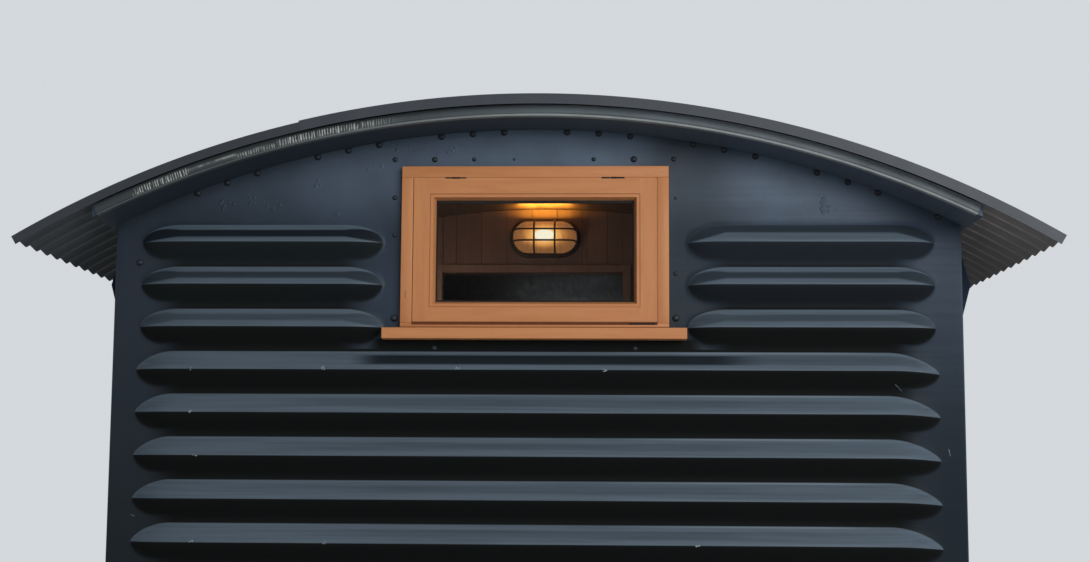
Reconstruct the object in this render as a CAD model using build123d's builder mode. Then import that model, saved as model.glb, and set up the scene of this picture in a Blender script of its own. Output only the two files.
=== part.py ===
from build123d import *
import os
from math import asin, cos, sin, sqrt

os.makedirs("parts", exist_ok=True)

# A railway goods van body made into a tiny house. Millimetres, +Z up from the ground, Y along the
# van. The end with the photographed window is the front, towards -Y, and the back end repeats it.

# The body
body_length = 5334.0
body_width = 2440.0
side_height = 1980.0
roof_rise = 281.0
wall_thickness = 64.0
seat = 0.3

# The base: timber sleepers on the ground, two solebars and two headstocks on them, then the floor
sleeper_height = 125.0
sleeper_width = 250.0
sleeper_inset = 70.0
sleeper_count = 5
solebar_height = 229.0
solebar_flange = 76.0
solebar_web = 9.0
solebar_inset = 280.0
bearer_height = 150.0
bearer_width = 75.0
bearer_count = 5
knee_thickness = 10.0
knee_height = 190.0
floor_thickness = 60.0

# The pressed steel ends
end_steel = 5.0
end_lap = 54.0
lining_gap = 6.6
lining_thickness = 63.4
rib_pitch = 122.8
rib_drop = 54.0
rib_height = 104.0
rib_depth = 35.0
rib_crest = 8.0
rib_margin = 77.0
rib_taper = 140.0
rib_nose = 55.0
rib_nose_share = 0.62
rib_sill_clear = 20.0
rib_window_clear = 60.0
short_rib_margin = 85.0
post_leg = 75.0
post_steel = 6.0

# The top-hung window in each end
window_width = 770.0
window_height = 467.5
window_rise = 168.5
window_proud = 20.0
frame_face = 33.0
frame_bottom_face = 12.0
frame_stop = 18.0
sash_gap = 2.0
sash_depth = 45.0
sash_back = 26.0
glass_width = 571.0
glass_height = 295.0
glass_lift = 61.0
glass_rebate = 8.0
glass_thickness = 6.0
bead_slope = 7.4
bead_face = 9.8
bead_step = 2.0
sheet_clear = 2.0
sill_width = 867.0
sill_height = 31.5
sill_depth = 50.0
sill_fall = 4.0

# The sides, each with a pair of hinged goods doors in the middle
door_opening = 1676.0
door_thickness = 40.0
door_gap = 5.0
door_rail = 60.0
door_rail_depth = 6.0
hinge_width = 45.0
hinge_steel = 6.0
hinge_reach = 620.0
hinge_pin_radius = 8.0
hinge_count = 3
lock_bar_width = 30.0
cantrail_height = 90.0
stanchion_width = 90.0
stanchion_depth = 45.0
stanchion_steel = 6.0
stanchion_drop = 20.0
brace_width = 65.0
brace_steel = 8.0
eave_bracket_inset = 150.0
eave_bracket_steel = 8.0
eave_bracket_reach = 62.0
eave_bracket_height = 390.0
eave_bracket_bulge_drop = 148.0
eave_bracket_bulge = 48.0
eave_bracket_shoulder = 0.68

# The roof
deck_thickness = 29.0
deck_edge = 15.0
deck_verge = 165.0
ceiling_thickness = 9.0
sheet_verge = 190.5
eave_run = 232.0
corrugation_pitch = 76.2
corrugation_depth = 19.0
sheet_steel = 1.5
sheet_corrugations = 13
bow_flats = 10
capping_face = 25.0
capping_lap = 80.0
capping_steel = 1.5
trim_steel = 2.0
trim_lip = 17.0

# The panelled partition behind the front window, with its doorway and lamp
partition_inset = 1150.0
partition_thickness = 50.0
doorway_left = -389.0
doorway_right = 282.0
header_height = 241.0
architrave_width = 30.0
architrave_depth = 12.0
lamp_rise = 127.0
lamp_x = -8.0
lamp_width = 276.0
lamp_height = 158.0
lamp_base_depth = 32.0
lamp_rim = 13.0
lamp_glass_depth = 66.0
guard_wire = 7.0
guard_bar_x = 38.0
guard_bar_z = 21.0
guard_clear = 5.0

# Levels and faces that follow from them
half = body_width / 2
half_length = body_length / 2
solebar_spacing = body_width - 2 * solebar_inset
sleeper_length = body_width - 2 * sleeper_inset
solebar_top = sleeper_height + solebar_height
floor_top = solebar_top + floor_thickness
eave = floor_top + side_height
roof_radius = (half**2 + roof_rise**2) / (2 * roof_rise)
roof_centre = eave + roof_rise - roof_radius
front = -half_length
back_of_sheet = front + end_steel
lining_front = back_of_sheet + lining_gap
lining_back = lining_front + lining_thickness
side_face = half - post_steel - seat
side_inner = side_face - wall_thickness
deck_half = half + deck_edge
deck_top = roof_radius + deck_thickness
sheet_under = deck_top + seat
sheet_top = sheet_under + corrugation_depth
eave_angle = asin(deck_half / sheet_under)
tip_angle = eave_angle + eave_run / sheet_under
flat_angle = 2 * eave_angle / bow_flats
bow_under = sheet_under / cos(flat_angle / 2)
roof_length = body_length + 2 * sheet_verge
ceiling_radius = roof_radius - seat - ceiling_thickness


def polar(radius, angle):
    """Point (X, Z) on a circle about the roof's centre, at an angle in radians from upright."""
    return (radius * sin(angle), roof_centre + radius * cos(angle))


def arch_height(radius, x):
    """Height of a roof circle at one X."""
    return roof_centre + sqrt(radius**2 - x**2)


def across(y):
    """Upright plane across the van at one Y, seen from the front."""
    return Plane.XZ.offset(-y)


def lengthwise(x):
    """Upright plane along the van at one X."""
    return Plane.YZ.offset(x)


def arch_face(inner, outer, half_width):
    """Face between two roof circles, cut off upright at both sides."""
    with BuildSketch(mode=Mode.PRIVATE) as face:
        with BuildLine():
            arcs = []
            for radius in (inner, outer):
                side = arch_height(radius, half_width)
                crown = (0, roof_centre + radius)
                arcs.append(ThreePointArc((-half_width, side), crown, (half_width, side)))
            Line(arcs[0] @ 0, arcs[1] @ 0)
            Line(arcs[0] @ 1, arcs[1] @ 1)
        make_face()
    return face.sketch


def eaved_face(inner, outer):
    """Face between two roof circles that reach past the deck to the eaves."""
    with BuildSketch(mode=Mode.PRIVATE) as face:
        with BuildLine():
            for radius in (inner, outer):
                crown = (0, roof_centre + radius)
                ThreePointArc(polar(radius, -tip_angle), crown, polar(radius, tip_angle))
            for hand in (-1, 1):
                Line(polar(inner, hand * tip_angle), polar(outer, hand * tip_angle))
        make_face()
    return face.sketch


def arched_wall_face(low_x, high_x, bottom, radius):
    """Upright wall face from a level bottom to a roof circle."""
    with BuildSketch(mode=Mode.PRIVATE) as face:
        with BuildLine():
            left = (low_x, arch_height(radius, low_x))
            right = (high_x, arch_height(radius, high_x))
            middle = (low_x + high_x) / 2
            ThreePointArc(left, (middle, arch_height(radius, middle)), right)
            Polyline(left, (low_x, bottom), (high_x, bottom), right)
        make_face()
    return face.sketch


def both_ends(name, piece):
    """Write a front piece and its mirror image at the back."""
    piece.label = "front_" + name
    export_step(piece, "parts/front_" + name + ".step")
    with BuildPart() as copy:
        mirror(piece, about=Plane.XZ)
    copy.part.label = "back_" + name
    export_step(copy.part, "parts/back_" + name + ".step")


# The pressed ribs: level rows down the end. Each has two straight flanks and a narrow crest, and
# at each tip the section shrinks to a point, slowly at first and then in a blunt nose.

rib_half_height = rib_height / 2
rib_sharp_depth = rib_depth / (1 - rib_crest / rib_height)
window_bottom = eave + window_rise - window_height
rib_top = eave - rib_drop
rib_rows = int((rib_top - rib_half_height - floor_top) / rib_pitch) + 1
rib_levels = [rib_top - rib_pitch * row for row in range(rib_rows)]
sill_bottom = window_bottom - seat - sill_height - sill_fall
short_levels = [z for z in rib_levels if z + rib_half_height > sill_bottom - rib_sill_clear]
long_levels = [z for z in rib_levels if z not in short_levels]
long_rib = body_width - 2 * rib_margin
short_rib_inner = window_width / 2 + rib_window_clear
short_rib = half - short_rib_margin - short_rib_inner
nose_taper = rib_nose / rib_nose_share
neck_taper = (rib_taper - rib_nose) / (1 - rib_nose_share)
neck_point = neck_taper - rib_taper


def pressed_rib(length):
    """One rib standing out of the front sheet, centred on X = 0 at Z = 0."""
    with BuildPart() as rib:
        with BuildSketch(lengthwise(-length / 2)):
            with BuildLine():
                Polyline(
                    (back_of_sheet, -rib_half_height),
                    (front, -rib_half_height),
                    (front - rib_depth, -rib_crest / 2),
                    (front - rib_depth, rib_crest / 2),
                    (front, rib_half_height),
                    (back_of_sheet, rib_half_height),
                    close=True,
                )
            make_face()
        extrude(amount=length)
        for hand_x in (-1, 1):
            for hand_z in (-1, 1):
                for taper, point in ((nose_taper, 0), (neck_taper, neck_point)):
                    slant = (hand_x / taper, -1 / rib_sharp_depth, hand_z / rib_half_height)
                    tip = (hand_x * (length / 2 + point), front, 0)
                    split(bisect_by=Plane(origin=tip, z_dir=slant), keep=Keep.BOTTOM)
    return rib.part


long_pressing = pressed_rib(long_rib)
short_pressing = pressed_rib(short_rib)
sheet_bottom = solebar_top - end_lap

with BuildPart() as end_sheet:
    with BuildSketch(across(back_of_sheet)):
        add(arched_wall_face(-half, half, sheet_bottom, roof_radius - seat))
        with Locations((0, window_bottom + window_height / 2)):
            Rectangle(window_width + 2 * sheet_clear, window_height + 2 * sheet_clear, mode=Mode.SUBTRACT)
    extrude(amount=end_steel)
    with Locations([(0, 0, z) for z in long_levels]):
        add(long_pressing)
    short_x = short_rib_inner + short_rib / 2
    with Locations([(hand * short_x, 0, z) for z in short_levels for hand in (-1, 1)]):
        add(short_pressing)
both_ends("end_sheet", end_sheet.part)

with BuildPart() as end_lining:
    with BuildSketch(across(lining_back)):
        add(arched_wall_face(-side_inner + seat, side_inner - seat, floor_top, roof_radius - seat))
        with Locations((0, window_bottom + window_height / 2)):
            Rectangle(window_width + 2 * seat, window_height + 2 * seat, mode=Mode.SUBTRACT)
    extrude(amount=lining_thickness)
both_ends("end_lining", end_lining.part)

# The window: a timber frame through the wall, a sash hung from its head, one pane and a sill

frame_front = front - window_proud
frame_depth = lining_back - frame_front
sash_front = frame_front + sash_gap
sash_rear = sash_front + sash_depth
stop_front = sash_rear + seat
opening_width = window_width - 2 * frame_face
opening_bottom = window_bottom + frame_bottom_face
opening_height = window_height - frame_face - frame_bottom_face
sash_width = opening_width - 2 * sash_gap
sash_height = opening_height - 2 * sash_gap
sash_bottom = opening_bottom + sash_gap
glass_middle = sash_bottom + glass_lift + glass_height / 2

with BuildPart() as window_frame:
    with BuildSketch(across(lining_back)):
        with Locations((0, window_bottom + window_height / 2)):
            Rectangle(window_width, window_height)
        with Locations((0, opening_bottom + opening_height / 2)):
            Rectangle(opening_width - 2 * frame_stop, opening_height - 2 * frame_stop, mode=Mode.SUBTRACT)
    extrude(amount=frame_depth)
    with BuildSketch(across(stop_front)):
        with Locations((0, opening_bottom + opening_height / 2)):
            Rectangle(opening_width, opening_height)
    extrude(amount=stop_front - frame_front, mode=Mode.SUBTRACT)
both_ends("window_frame", window_frame.part)

glass_front = sash_rear - sash_back
with BuildPart() as window_sash:
    with BuildSketch(across(sash_rear)):
        with Locations((0, sash_bottom + sash_height / 2)):
            Rectangle(sash_width, sash_height)
        with Locations((0, glass_middle)):
            Rectangle(glass_width, glass_height, mode=Mode.SUBTRACT)
    extrude(amount=sash_depth)
    with BuildSketch(across(glass_front)):
        with Locations((0, glass_middle)):
            Rectangle(glass_width, glass_height)
    with BuildSketch(across(sash_front + bead_step)):
        with Locations((0, glass_middle)):
            Rectangle(glass_width + 2 * bead_slope, glass_height + 2 * bead_slope)
    loft(mode=Mode.SUBTRACT)
    bead_reach = 2 * (bead_slope + bead_face)
    with BuildSketch(across(sash_front + bead_step)):
        with Locations((0, glass_middle)):
            Rectangle(glass_width + bead_reach, glass_height + bead_reach)
    extrude(amount=bead_step, mode=Mode.SUBTRACT)
    with BuildSketch(across(sash_rear)):
        with Locations((0, glass_middle)):
            Rectangle(glass_width + 2 * glass_rebate, glass_height + 2 * glass_rebate)
    extrude(amount=sash_back, mode=Mode.SUBTRACT)
both_ends("window_sash", window_sash.part)

with BuildPart() as window_glass:
    with BuildSketch(across(glass_front + seat + glass_thickness)):
        with Locations((0, glass_middle)):
            pane_rebate = 2 * (glass_rebate - seat)
            Rectangle(glass_width + pane_rebate, glass_height + pane_rebate)
    extrude(amount=glass_thickness)
both_ends("window_glass", window_glass.part)

with BuildPart() as window_sill:
    with BuildSketch(lengthwise(-sill_width / 2)):
        with BuildLine():
            Polyline(
                (front - seat, sill_bottom),
                (front - seat, sill_bottom + sill_height + sill_fall),
                (front - sill_depth, sill_bottom + sill_height),
                (front - sill_depth, sill_bottom),
                close=True,
            )
        make_face()
    extrude(amount=sill_width)
both_ends("window_sill", window_sill.part)

# The base

with BuildPart() as sleepers:
    sleeper_travel = body_length - 2 * solebar_flange - sleeper_width
    with BuildSketch():
        with GridLocations(0, sleeper_travel / (sleeper_count - 1), 1, sleeper_count):
            Rectangle(sleeper_length, sleeper_width)
    extrude(amount=sleeper_height)
sleepers.part.label = "sleepers"
export_step(sleepers.part, "parts/sleepers.step")


with BuildSketch(mode=Mode.PRIVATE) as channel:
    with Locations((solebar_flange / 2, 0)):
        Rectangle(solebar_flange, solebar_height)
    with Locations((solebar_flange / 2 + solebar_web / 2, 0)):
        Rectangle(solebar_flange - solebar_web, solebar_height - 2 * solebar_web, mode=Mode.SUBTRACT)


solebar_middle = sleeper_height + solebar_height / 2
headstock_front = back_of_sheet + seat
headstock_back = headstock_front + solebar_flange
solebar_length = -2 * (headstock_back + seat)

with BuildPart() as solebars:
    for hand in (-1, 1):
        web_face = Plane(
            origin=(hand * solebar_spacing / 2, -hand * solebar_length / 2, solebar_middle),
            x_dir=(hand, 0, 0),
            z_dir=(0, -hand, 0),
        )
        with BuildSketch(web_face):
            add(channel.sketch)
        extrude(amount=-solebar_length)
solebars.part.label = "solebars"
export_step(solebars.part, "parts/solebars.step")

with BuildPart() as headstocks:
    for hand in (-1, 1):
        web_face = Plane(
            origin=(hand * side_face, -hand * headstock_front, solebar_middle),
            x_dir=(0, -hand, 0),
            z_dir=(hand, 0, 0),
        )
        with BuildSketch(web_face):
            add(channel.sketch)
        extrude(amount=-2 * side_face)
headstocks.part.label = "headstocks"
export_step(headstocks.part, "parts/headstocks.step")

bearer_travel = solebar_length - 2 * bearer_width
bearer_step = bearer_travel / (bearer_count - 1)
with BuildPart() as cross_bearers:
    with BuildSketch(Plane.XY.offset(solebar_top - bearer_height)):
        with GridLocations(0, bearer_step, 1, bearer_count):
            Rectangle(solebar_spacing - 2 * seat, bearer_width)
    extrude(amount=bearer_height)
cross_bearers.part.label = "cross_bearers"
export_step(cross_bearers.part, "parts/cross_bearers.step")

with BuildPart() as body_knees:
    knee_inner = solebar_spacing / 2 + solebar_flange + seat
    for index in range(bearer_count):
        y = (index - (bearer_count - 1) / 2) * bearer_step
        for hand in (-1, 1):
            with BuildSketch(across(y + knee_thickness / 2)):
                with BuildLine():
                    Polyline(
                        (hand * knee_inner, solebar_top),
                        (hand * side_face, solebar_top),
                        (hand * knee_inner, solebar_top - knee_height),
                        close=True,
                    )
                make_face()
            extrude(amount=knee_thickness)
body_knees.part.label = "body_knees"
export_step(body_knees.part, "parts/body_knees.step")

with BuildPart() as floor_boards:
    with BuildSketch(Plane.XY.offset(solebar_top)):
        Rectangle(2 * side_face, -2 * lining_front)
    extrude(amount=floor_thickness)
floor_boards.part.label = "floor_boards"
export_step(floor_boards.part, "parts/floor_boards.step")

# The sides

post_top = arch_height(roof_radius, half) - seat
with BuildPart() as corner_posts:
    for hand_x in (-1, 1):
        for hand_y in (-1, 1):
            corner = (hand_x * half, hand_y * (half_length - end_steel - seat))
            with BuildSketch(Plane.XY.offset(sheet_bottom)):
                with BuildLine():
                    Polyline(
                        corner,
                        (corner[0] - hand_x * post_leg, corner[1]),
                        (corner[0] - hand_x * post_leg, corner[1] - hand_y * post_steel),
                        (corner[0] - hand_x * post_steel, corner[1] - hand_y * post_steel),
                        (corner[0] - hand_x * post_steel, corner[1] - hand_y * post_leg),
                        (corner[0], corner[1] - hand_y * post_leg),
                        close=True,
                    )
                make_face()
            extrude(amount=post_top - sheet_bottom)
    with BuildSketch(Plane.XY.offset(sheet_bottom)):
        Rectangle(2 * side_face, 2 * half_length)
    extrude(amount=floor_top - sheet_bottom, mode=Mode.SUBTRACT)
corner_posts.part.label = "corner_posts"
export_step(corner_posts.part, "parts/corner_posts.step")

cantrail_bottom = eave - cantrail_height
with BuildPart() as cantrails:
    for hand in (-1, 1):
        with BuildSketch(across(-lining_front)):
            low_x, high_x = sorted((hand * side_inner, hand * side_face))
            add(arched_wall_face(low_x, high_x, cantrail_bottom, roof_radius - seat))
        extrude(amount=-2 * lining_front)
cantrails.part.label = "cantrails"
export_step(cantrails.part, "parts/cantrails.step")

panel_length = -lining_front - door_opening / 2
panel_height = cantrail_bottom - floor_top
panel_middle = (-lining_front + door_opening / 2) / 2
door_height = panel_height - 2 * door_gap
leaf_width = door_opening / 2 - 1.5 * door_gap
leaf_middle = door_gap / 2 + leaf_width / 2
leaf_bottom = floor_top + door_gap
frame_plate = side_face - door_rail_depth
stanchion_foot = solebar_top
stanchion_height = eave - stanchion_drop - stanchion_foot
board_face = side_face + seat
post_middle = door_opening / 2 + stanchion_width / 2
mid_stanchion = (post_middle - lining_front - post_leg) / 2


def top_hat_face(hand, y):
    """Pressed top-hat section standing out of one side, with a flange each way along Y."""
    flange = stanchion_width / 4
    out = board_face + stanchion_depth
    outline = [
        (board_face, y - stanchion_width / 2),
        (board_face + stanchion_steel, y - stanchion_width / 2),
        (board_face + stanchion_steel, y - stanchion_width / 2 + flange),
        (out, y - stanchion_width / 2 + flange + stanchion_steel),
        (out, y + stanchion_width / 2 - flange - stanchion_steel),
        (board_face + stanchion_steel, y + stanchion_width / 2 - flange),
        (board_face + stanchion_steel, y + stanchion_width / 2),
        (board_face, y + stanchion_width / 2),
        (board_face, y + stanchion_width / 2 - flange - stanchion_steel),
        (out - stanchion_steel, y + stanchion_width / 2 - flange - 2 * stanchion_steel),
        (out - stanchion_steel, y - stanchion_width / 2 + flange + 2 * stanchion_steel),
        (board_face, y - stanchion_width / 2 + flange + stanchion_steel),
    ]
    with BuildSketch(mode=Mode.PRIVATE) as face:
        with BuildLine():
            Polyline(*[(hand * x, along) for x, along in outline], close=True)
        make_face()
    return face.sketch


def side_panels(hand):
    """The boarded walls beside the doors of one side."""
    with BuildPart() as panels:
        with BuildSketch(Plane.XY.offset(floor_top)):
            with Locations([(hand * (side_inner + side_face) / 2, end * panel_middle) for end in (-1, 1)]):
                Rectangle(wall_thickness, panel_length)
        extrude(amount=panel_height - seat)
    return panels.part


def side_framing(hand):
    """Stanchions, door posts and diagonal braces on the outside of one side."""
    with BuildPart() as framing:
        with BuildSketch(Plane.XY.offset(stanchion_foot)):
            for y in (-mid_stanchion, -post_middle, post_middle, mid_stanchion):
                add(top_hat_face(hand, y))
        extrude(amount=stanchion_height)
        with BuildSketch(lengthwise(hand * board_face)):
            for end in (-1, 1):
                top_y = end * (post_middle + stanchion_width / 2 + seat)
                foot_y = -end * (lining_front + post_leg)
                top_z = cantrail_bottom
                with BuildLine():
                    Polyline(
                        (top_y, top_z),
                        (top_y, top_z - 2 * brace_width),
                        (foot_y - end * brace_width, floor_top),
                        (foot_y, floor_top),
                        (foot_y, floor_top + brace_width),
                        (top_y + end * brace_width / 2, top_z),
                        close=True,
                    )
                make_face()
        extrude(amount=hand * brace_steel)
        with BuildSketch(Plane.XY.offset(floor_top)):
            with Locations([(hand * side_face, end * mid_stanchion) for end in (-1, 1)]):
                Rectangle(2 * stanchion_depth, stanchion_width + 2 * seat)
        extrude(amount=panel_height, mode=Mode.SUBTRACT)
        with BuildSketch(Plane.XY.offset(stanchion_foot)):
            for y in (-mid_stanchion, mid_stanchion):
                add(top_hat_face(hand, y))
        extrude(amount=stanchion_height)
    return framing.part


def door_leaf(hand, end):
    """One boarded leaf with its steel edge frame and brace."""
    middle_y = end * leaf_middle
    middle_z = leaf_bottom + door_height / 2
    with BuildPart() as leaf:
        with BuildSketch(lengthwise(hand * (frame_plate - door_thickness))):
            with Locations((middle_y, middle_z)):
                Rectangle(leaf_width, door_height)
        extrude(amount=hand * door_thickness)
        with BuildSketch(lengthwise(hand * frame_plate)):
            with Locations((middle_y, middle_z)):
                Rectangle(leaf_width, door_height)
                Rectangle(leaf_width - 2 * door_rail, door_height - 2 * door_rail, mode=Mode.SUBTRACT)
            hinge_y = end * (door_gap / 2 + leaf_width - door_rail)
            lock_y = end * (door_gap / 2 + door_rail)
            low_z = leaf_bottom + door_rail
            high_z = leaf_bottom + door_height - door_rail
            with BuildLine():
                Polyline(
                    (hinge_y, low_z),
                    (hinge_y, low_z + door_rail * 2),
                    (lock_y, high_z),
                    (lock_y, high_z - door_rail * 2),
                    close=True,
                )
            make_face()
        extrude(amount=hand * door_rail_depth)
    return leaf.part


hinge_step = (door_height - 4 * door_rail) / (hinge_count - 1)


def door_hardware(hand):
    """Strap hinges with their pins, and the upright locking bar, of one pair of doors."""
    with BuildPart() as hardware:
        for row in range(hinge_count):
            z = leaf_bottom + 2 * door_rail + row * hinge_step
            for end in (-1, 1):
                edge = door_opening / 2 - seat
                with BuildSketch(lengthwise(hand * board_face)):
                    with Locations((end * (edge - hinge_reach / 2), z)):
                        Rectangle(hinge_reach, hinge_width)
                extrude(amount=hand * hinge_steel)
                with BuildSketch(Plane.XY.offset(z - hinge_width / 2)):
                    with Locations((hand * (board_face + hinge_pin_radius), end * (edge - hinge_pin_radius))):
                        Circle(hinge_pin_radius)
                extrude(amount=hinge_width)
        with BuildSketch(lengthwise(hand * board_face)):
            with Locations((0, leaf_bottom + door_height / 2)):
                Rectangle(lock_bar_width, door_height - 2 * door_rail)
        extrude(amount=hand * hinge_steel)
    return hardware.part


for side, hand in (("left", -1), ("right", 1)):
    panels = side_panels(hand)
    panels.label = side + "_side_panels"
    export_step(panels, "parts/" + side + "_side_panels.step")
    framing = side_framing(hand)
    framing.label = side + "_side_framing"
    export_step(framing, "parts/" + side + "_side_framing.step")
    for place, end in (("front", -1), ("back", 1)):
        leaf = door_leaf(hand, end)
        leaf.label = side + "_door_" + place + "_leaf"
        export_step(leaf, "parts/" + side + "_door_" + place + "_leaf.step")
    hardware = door_hardware(hand)
    hardware.label = side + "_door_hardware"
    export_step(hardware, "parts/" + side + "_door_hardware.step")

bracket_top = arch_height(roof_radius, deck_half) - seat
with BuildPart() as eave_brackets:
    for end in (-1, 1):
        middle_y = end * (half_length - eave_bracket_inset)
        for hand in (-1, 1):
            with BuildSketch(across(middle_y + eave_bracket_steel / 2)):
                with BuildLine():
                    widest = bracket_top - eave_bracket_bulge_drop
                    shoulder = board_face + eave_bracket_reach * eave_bracket_shoulder
                    Polyline(
                        (hand * board_face, bracket_top - eave_bracket_height),
                        (hand * shoulder, widest - 2 * eave_bracket_bulge),
                        (hand * (half + eave_bracket_reach), widest),
                        (hand * shoulder, widest + 2 * eave_bracket_bulge),
                        (hand * board_face, bracket_top),
                        close=True,
                    )
                make_face()
            extrude(amount=eave_bracket_steel)
eave_brackets.part.label = "eave_brackets"
export_step(eave_brackets.part, "parts/eave_brackets.step")

# The roof

deck_front = front - deck_verge
with BuildPart() as roof_deck:
    with BuildSketch(across(-deck_front)):
        add(arch_face(roof_radius, deck_top, deck_half))
    extrude(amount=-2 * deck_front)
roof_deck.part.label = "roof_deck"
export_step(roof_deck.part, "parts/roof_deck.step")

with BuildPart() as ceiling_lining:
    with BuildSketch(across(-lining_back - seat)):
        add(arch_face(ceiling_radius, roof_radius - seat, side_inner - seat))
    extrude(amount=-2 * (lining_back + seat))
ceiling_lining.part.label = "ceiling_lining"
export_step(ceiling_lining.part, "parts/ceiling_lining.step")

corrugations = round(roof_length / corrugation_pitch)
true_pitch = roof_length / corrugations


def radial_plane(angle):
    """Plane through the roof's axis, with local X along the van and local Y outwards."""
    return Plane(
        origin=(0, 0, roof_centre), x_dir=(0, 1, 0), z_dir=(cos(angle), 0, -sin(angle))
    )


def corrugated_edge(first, count, low, high):
    """Zigzag from one valley to another, as points of a radial plane."""
    start = -roof_length / 2 + first * true_pitch
    points = [
        (start + step * true_pitch / 2, high if step % 2 else low) for step in range(2 * count + 1)
    ]
    points[0] = (start + seat / 2, low)
    points[-1] = (start + count * true_pitch - seat / 2, low)
    return points


def corrugated_sheet(first, count):
    """One sheet from eave to eave. It bends over the deck in flats, whose crests touch the roof's
    outer circle at the bends and whose underside touches the deck midway between them."""
    crests = corrugated_edge(first, count, bow_under + sheet_steel, sheet_top)
    hollows = corrugated_edge(first, count, bow_under, sheet_top - sheet_steel)
    with BuildPart() as sheet:
        for bend in range(bow_flats + 1):
            with BuildSketch(radial_plane(bend * flat_angle - eave_angle)):
                with BuildLine():
                    Polyline(*crests, hollows[-1], hollows[0], close=True)
                make_face()
        loft(ruled=True)
        for hand in (-1, 1):
            for angle in (hand * eave_angle, hand * tip_angle):
                with BuildSketch(radial_plane(angle)):
                    with BuildLine():
                        Polyline(*crests, *reversed(hollows), close=True)
                    make_face()
            loft(ruled=True)
    return sheet.part


with BuildPart() as roof_sheets:
    for first in range(0, corrugations, sheet_corrugations):
        add(corrugated_sheet(first, min(sheet_corrugations, corrugations - first)))
roof_sheets.part.label = "roof_sheets"
export_step(roof_sheets.part, "parts/roof_sheets.step")

capping_back = -roof_length / 2 - seat
capping_front = capping_back - capping_steel
capping_under = sheet_top + seat
with BuildPart() as barge_capping:
    with BuildSketch(across(capping_back)):
        add(eaved_face(sheet_top - capping_face + capping_steel, capping_under + capping_steel))
    extrude(amount=capping_steel)
    with BuildSketch(across(capping_front + capping_lap)):
        add(eaved_face(capping_under, capping_under + capping_steel))
    extrude(amount=capping_lap)
both_ends("barge_capping", barge_capping.part)

trim_back = deck_front - seat
with BuildPart() as verge_trim:
    with BuildSketch(across(trim_back)):
        add(arch_face(roof_radius - seat - trim_steel, deck_top, deck_half))
    extrude(amount=trim_steel)
    with BuildSketch(across(trim_back + trim_lip)):
        add(arch_face(roof_radius - seat - trim_steel, roof_radius - seat, deck_half))
    extrude(amount=trim_lip)
both_ends("verge_trim", verge_trim.part)

# The partition

partition_front = front + partition_inset
partition_back = partition_front + partition_thickness
partition_half = side_inner - seat
under_ceiling = ceiling_radius - seat
doorway_top = roof_centre + under_ceiling - header_height
doorway_height = doorway_top - floor_top
with BuildPart() as partition_walls:
    with BuildSketch(across(partition_back)):
        add(arched_wall_face(-partition_half, doorway_left, floor_top, under_ceiling))
        add(arched_wall_face(doorway_right, partition_half, floor_top, under_ceiling))
    extrude(amount=partition_thickness)
partition_walls.part.label = "partition_walls"
export_step(partition_walls.part, "parts/partition_walls.step")

with BuildPart() as partition_header:
    with BuildSketch(across(partition_back)):
        add(arched_wall_face(doorway_left + seat, doorway_right - seat, doorway_top, under_ceiling))
    extrude(amount=partition_thickness)
partition_header.part.label = "partition_header"
export_step(partition_header.part, "parts/partition_header.step")

with BuildPart() as doorway_architrave:
    with BuildSketch(across(partition_front - seat)):
        middle_x = (doorway_left + doorway_right) / 2
        span = doorway_right - doorway_left
        with Locations((middle_x, floor_top)):
            Rectangle(
                span + 2 * architrave_width,
                doorway_height + architrave_width,
                align=(Align.CENTER, Align.MIN),
            )
            Rectangle(span, doorway_height, align=(Align.CENTER, Align.MIN), mode=Mode.SUBTRACT)
    extrude(amount=architrave_depth)
doorway_architrave.part.label = "doorway_architrave"
export_step(doorway_architrave.part, "parts/doorway_architrave.step")

lamp_z = doorway_top + lamp_rise
base_back = partition_front - seat
base_front = base_back - lamp_base_depth
with BuildPart() as lamp_base:
    with BuildSketch(across(base_back)):
        with Locations((lamp_x, lamp_z)):
            SlotOverall(lamp_width, lamp_height)
    extrude(amount=lamp_base_depth)
lamp_base.part.label = "lamp_base"
export_step(lamp_base.part, "parts/lamp_base.step")

glass_half_width = lamp_width / 2 - lamp_rim - seat - guard_wire
glass_half_height = lamp_height / 2 - lamp_rim - seat - guard_wire
glass_back = base_front - seat
with BuildPart() as lamp_glass:
    with BuildSketch(across(glass_back)):
        with Locations((lamp_x, lamp_z)):
            SlotOverall(2 * glass_half_width, 2 * glass_half_height)
    extrude(amount=lamp_glass_depth)
lamp_glass.part.label = "lamp_glass"
export_step(lamp_glass.part, "parts/lamp_glass.step")

guard_front = glass_back - lamp_glass_depth - guard_clear


def hoop_points(reach, top_reach):
    """Outline of one guard bar: up from the rim, slanting in, across the glass and back."""
    inner = [
        (-reach + guard_wire, glass_back),
        (-top_reach, guard_front),
        (top_reach, guard_front),
        (reach - guard_wire, glass_back),
    ]
    outer = [
        (reach, glass_back),
        (top_reach + guard_wire, guard_front - guard_wire),
        (-top_reach - guard_wire, guard_front - guard_wire),
        (-reach, glass_back),
    ]
    return inner + outer


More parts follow.
